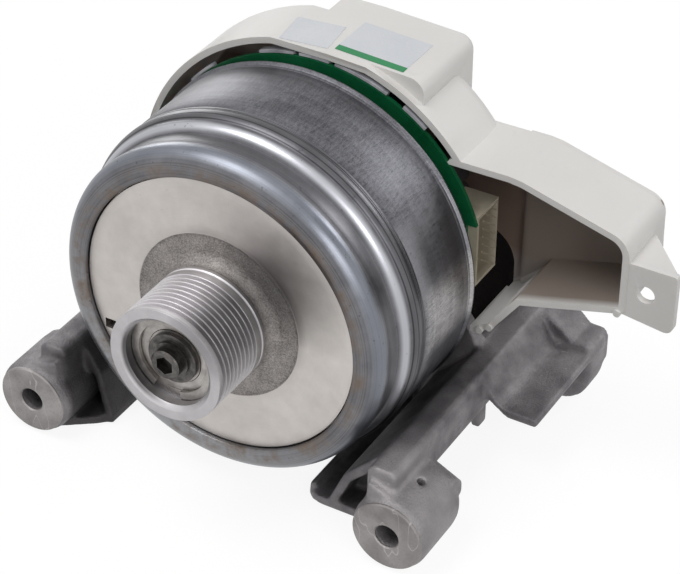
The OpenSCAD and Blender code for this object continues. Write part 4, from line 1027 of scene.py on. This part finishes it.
def connector_finish():
    """Beige outside, and darker in the mouth, where light hardly reaches the pins."""
    low, high = [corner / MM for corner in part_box("connector_housing")]
    p = Paint("connector_plastic")
    clouds = p.noise(0.12, 4.0, 0.6)
    grain = p.noise(2.0, 2.0, 0.6)
    colour = p.mix(p.clamp(clouds, 0.35, 0.65), shade(176, 166, 146), shade(196, 187, 168))
    wall, soft = 1.5, 0.4
    across = p.between(p.y, low.y + wall - soft, low.y + wall, high.y - wall, high.y - wall + soft)
    along = p.between(p.z, low.z + wall - soft, low.z + wall, high.z - wall, high.z - wall + soft)
    mouth = across * along * (1 - p.clamp(p.x, high.x - 2.5, high.x - 0.5))
    colour = p.mix(mouth * 0.85, colour, shade(92, 72, 48))
    return p.finish(colour, grain * 0.2 + 0.35, p.bump(grain, 0.02), IOR=1.48)


print("patterned finishes ready")

# %% Finish the CAD nodes
finishes = {
    "bearing": small_metal("bearing_steel", shade(138, 134, 131), shade(184, 180, 176), 0.2, 0.26, 0.44),
    "axle": small_metal("axle_steel", shade(110, 110, 112), shade(168, 168, 170), 0.15, 0.2, 0.45),
    "dark": small_metal("dark_steel", shade(62, 60, 60), shade(112, 109, 106), 0.35, 0.22, 0.5),
    "zinc": small_metal("zinc_steel", shade(160, 160, 156), shade(205, 205, 200), 0.2, 0.2, 0.42),
    "ferrite": small_plastic("ferrite", shade(34, 34, 36), shade(58, 58, 60), 0.3, 0.6),
    "cage": small_plastic("cage_plastic", shade(120, 92, 48), shade(150, 118, 66), 0.3, 0.5),
    "insulator": small_plastic("insulator_plastic", shade(205, 198, 176), shade(220, 214, 196), 0.1, 0.5),
    "clip": small_plastic("clip_plastic", shade(150, 150, 156), shade(205, 205, 212), 0.09, 0.3),
    "sleeve": small_plastic("capacitor_sleeve", shade(24, 28, 40), shade(42, 48, 66), 0.1, 0.28),
    "black": small_plastic("black_plastic", shade(34, 34, 36), shade(52, 52, 54), 0.1, 0.45),
    "connector": connector_finish(),
    "pins": small_metal("pin_metal", shade(200, 190, 160), shade(238, 232, 214), 0.3, 0.12, 0.3),
    "copper": wound_copper(),
    "sheets": stacked_sheet(),
    "board": board_finish(),
    "label": label_finish("label_paper", shade(208, 210, 214), shade(198, 201, 206)),
    "band": label_finish("label_green", shade(8, 132, 76), shade(4, 118, 66)),
}
finish_nodes = {
    "bearing": (
        ("front_inner_ring", "front_outer_ring", "front_balls", "front_shields", "retaining_ring")
        + ("rear_inner_ring", "rear_outer_ring", "rear_balls", "rear_shields")
    ),
    "axle": ("axle", "bearing_spacer", "preload_washer"),
    "dark": ("axle_screw", "clamp_washer"),
    "zinc": ("axle_nut", "axle_washer", "stator_screws", "board_screws", "cover_screws"),
    "ferrite": ("rotor_magnets",),
    "cage": ("front_ball_cage", "rear_ball_cage"),
    "insulator": ("front_insulator", "rear_insulator", "board_spacers"),
    "clip": ("board_clips",),
    "sleeve": ("bus_capacitors",),
    "black": ("power_module", "relay"),
    "connector": ("connector_housing",),
    "pins": ("connector_pins",),
    "copper": ("stator_windings", "filter_choke"),
    "sheets": ("stator_core",),
    "board": ("control_board",),
    "label": ("rating_label", "data_label"),
    "band": ("label_band",),
}
finished = 0
for finish, names in finish_nodes.items():
    for name in names:
        nodes[name].data.materials.clear()
        nodes[name].data.materials.append(finishes[finish])
        finished += 1
print(f"{finished} CAD nodes finished")

# %% [markdown]
# The motor stands on a pale floor in soft studio light: one broad lamp from above, a weaker one
# from the right, two small ones from behind, and a pale room round it all. The floor and the room
# look white to the camera and in reflections, and give less light than they seem to. A plain white
# floor would turn grey away from the lamps. So this one also glows, but only where it is seen.

# %% Lay the floor
floor_z = cad_box[0][2] - 0.4 * MM
deselect()
bpy.ops.mesh.primitive_plane_add(size=6.0, location=(0, 0, floor_z))
floor = bpy.context.object
floor.name = "floor"
seen_rays = ("Is Camera Ray", "Is Glossy Ray", "Is Transmission Ray")


def floor_finish():
    """White to the camera and in reflections but for a soft shadow, and a plain grey to other light."""
    p = Paint("floor_white")
    speck = p.noise(0.02)
    camera_ray, glossy_ray, clear_ray = [p.node("ShaderNodeLightPath", {}, {}, out) for out in seen_rays]
    seen = p.math("MAXIMUM", p.math("MAXIMUM", camera_ray, glossy_ray), clear_ray)
    white = p.mix(speck, shade(244, 244, 244), shade(250, 250, 250))
    colour = p.mix(seen, shade(150, 150, 150), white)
    lit = p.node("ShaderNodeBsdfDiffuse", {}, {"Color": colour})
    glow = p.node("ShaderNodeEmission", {}, {"Color": (1, 1, 1, 1), "Strength": 1.04})
    p.node_output(p.node("ShaderNodeMixShader", {}, {0: seen * 0.86, 1: lit, 2: glow}))
    return p.material


floor.data.materials.append(floor_finish())
print("floor laid")

# %% Set the lamps


def lamp(name, place, target, size, power):
    """A square area lamp that points at target."""
    deselect()
    bpy.ops.object.light_add(type="AREA", location=place)
    light = bpy.context.object
    light.name = name
    light.data.shape = "SQUARE"
    light.data.size = size
    light.data.energy = power
    light.rotation_euler = (Vector(target) - Vector(place)).to_track_quat("-Z", "Y").to_euler()


lamp("lamp_key", (-0.35, -0.35, 1.2), (0, 0.03, 0), 0.7, 8.0)
lamp("lamp_fill", (0.95, -0.55, 0.62), (0, 0.03, 0), 0.55, 4.6)
lamp("lamp_back_right", (0.66, 1.0, 0.66), (0, 0.05, 0), 0.42, 3.4)
lamp("lamp_back_left", (-1.02, 1.0, 0.22), (0, 0.05, 0), 0.42, 2.6)
print("lamps set")

# %% Set the room
room_light, room_seen = 0.3, 1.0
world = bpy.data.worlds.new("pale_room")
bpy.context.scene.world = world
world.use_nodes = True
room = world.node_tree
room.nodes.clear()
path = room.nodes.new("ShaderNodeLightPath")
seen = path.outputs[seen_rays[0]]
for ray in seen_rays[1:]:
    either = room.nodes.new("ShaderNodeMath")
    either.operation = "MAXIMUM"
    room.links.new(seen, either.inputs[0])
    room.links.new(path.outputs[ray], either.inputs[1])
    seen = either.outputs[0]
level = room.nodes.new("ShaderNodeMapRange")
room.links.new(seen, level.inputs["Value"])
level.inputs["To Min"].default_value = room_light
level.inputs["To Max"].default_value = room_seen
sky = room.nodes.new("ShaderNodeBackground")
sky.inputs["Color"].default_value = (1, 1, 1, 1)
room.links.new(level.outputs["Result"], sky.inputs["Strength"])
out = room.nodes.new("ShaderNodeOutputWorld")
room.links.new(sky.outputs["Background"], out.inputs["Surface"])
print("room set")

# %% [markdown]
# The camera stands where the photographer stood: to the right of the pulley, a good way up, and
# far enough off for little perspective. Its place and its three axes were worked out from the round
# outlines in the photograph.

# %% Camera
camera_place = (0.363889, -0.549514, 0.479308)
camera_right = Vector((0.86401, 0.50342, 0.00692))
camera_up = Vector((-0.29635, 0.49740, 0.81533))
camera_back = Vector((0.40701, -0.70651, 0.57895))
deselect()
bpy.ops.object.camera_add()
camera = bpy.context.object
camera.data.sensor_width = 36.0
camera.data.lens = 128.1
camera.data.clip_start = 0.01
turned = Matrix((camera_right, camera_up, camera_back)).transposed().to_4x4()
camera.matrix_world = Matrix.Translation(camera_place) @ turned
bpy.context.scene.camera = camera
bpy.context.scene.view_settings.view_transform = "Standard"
print("camera set")
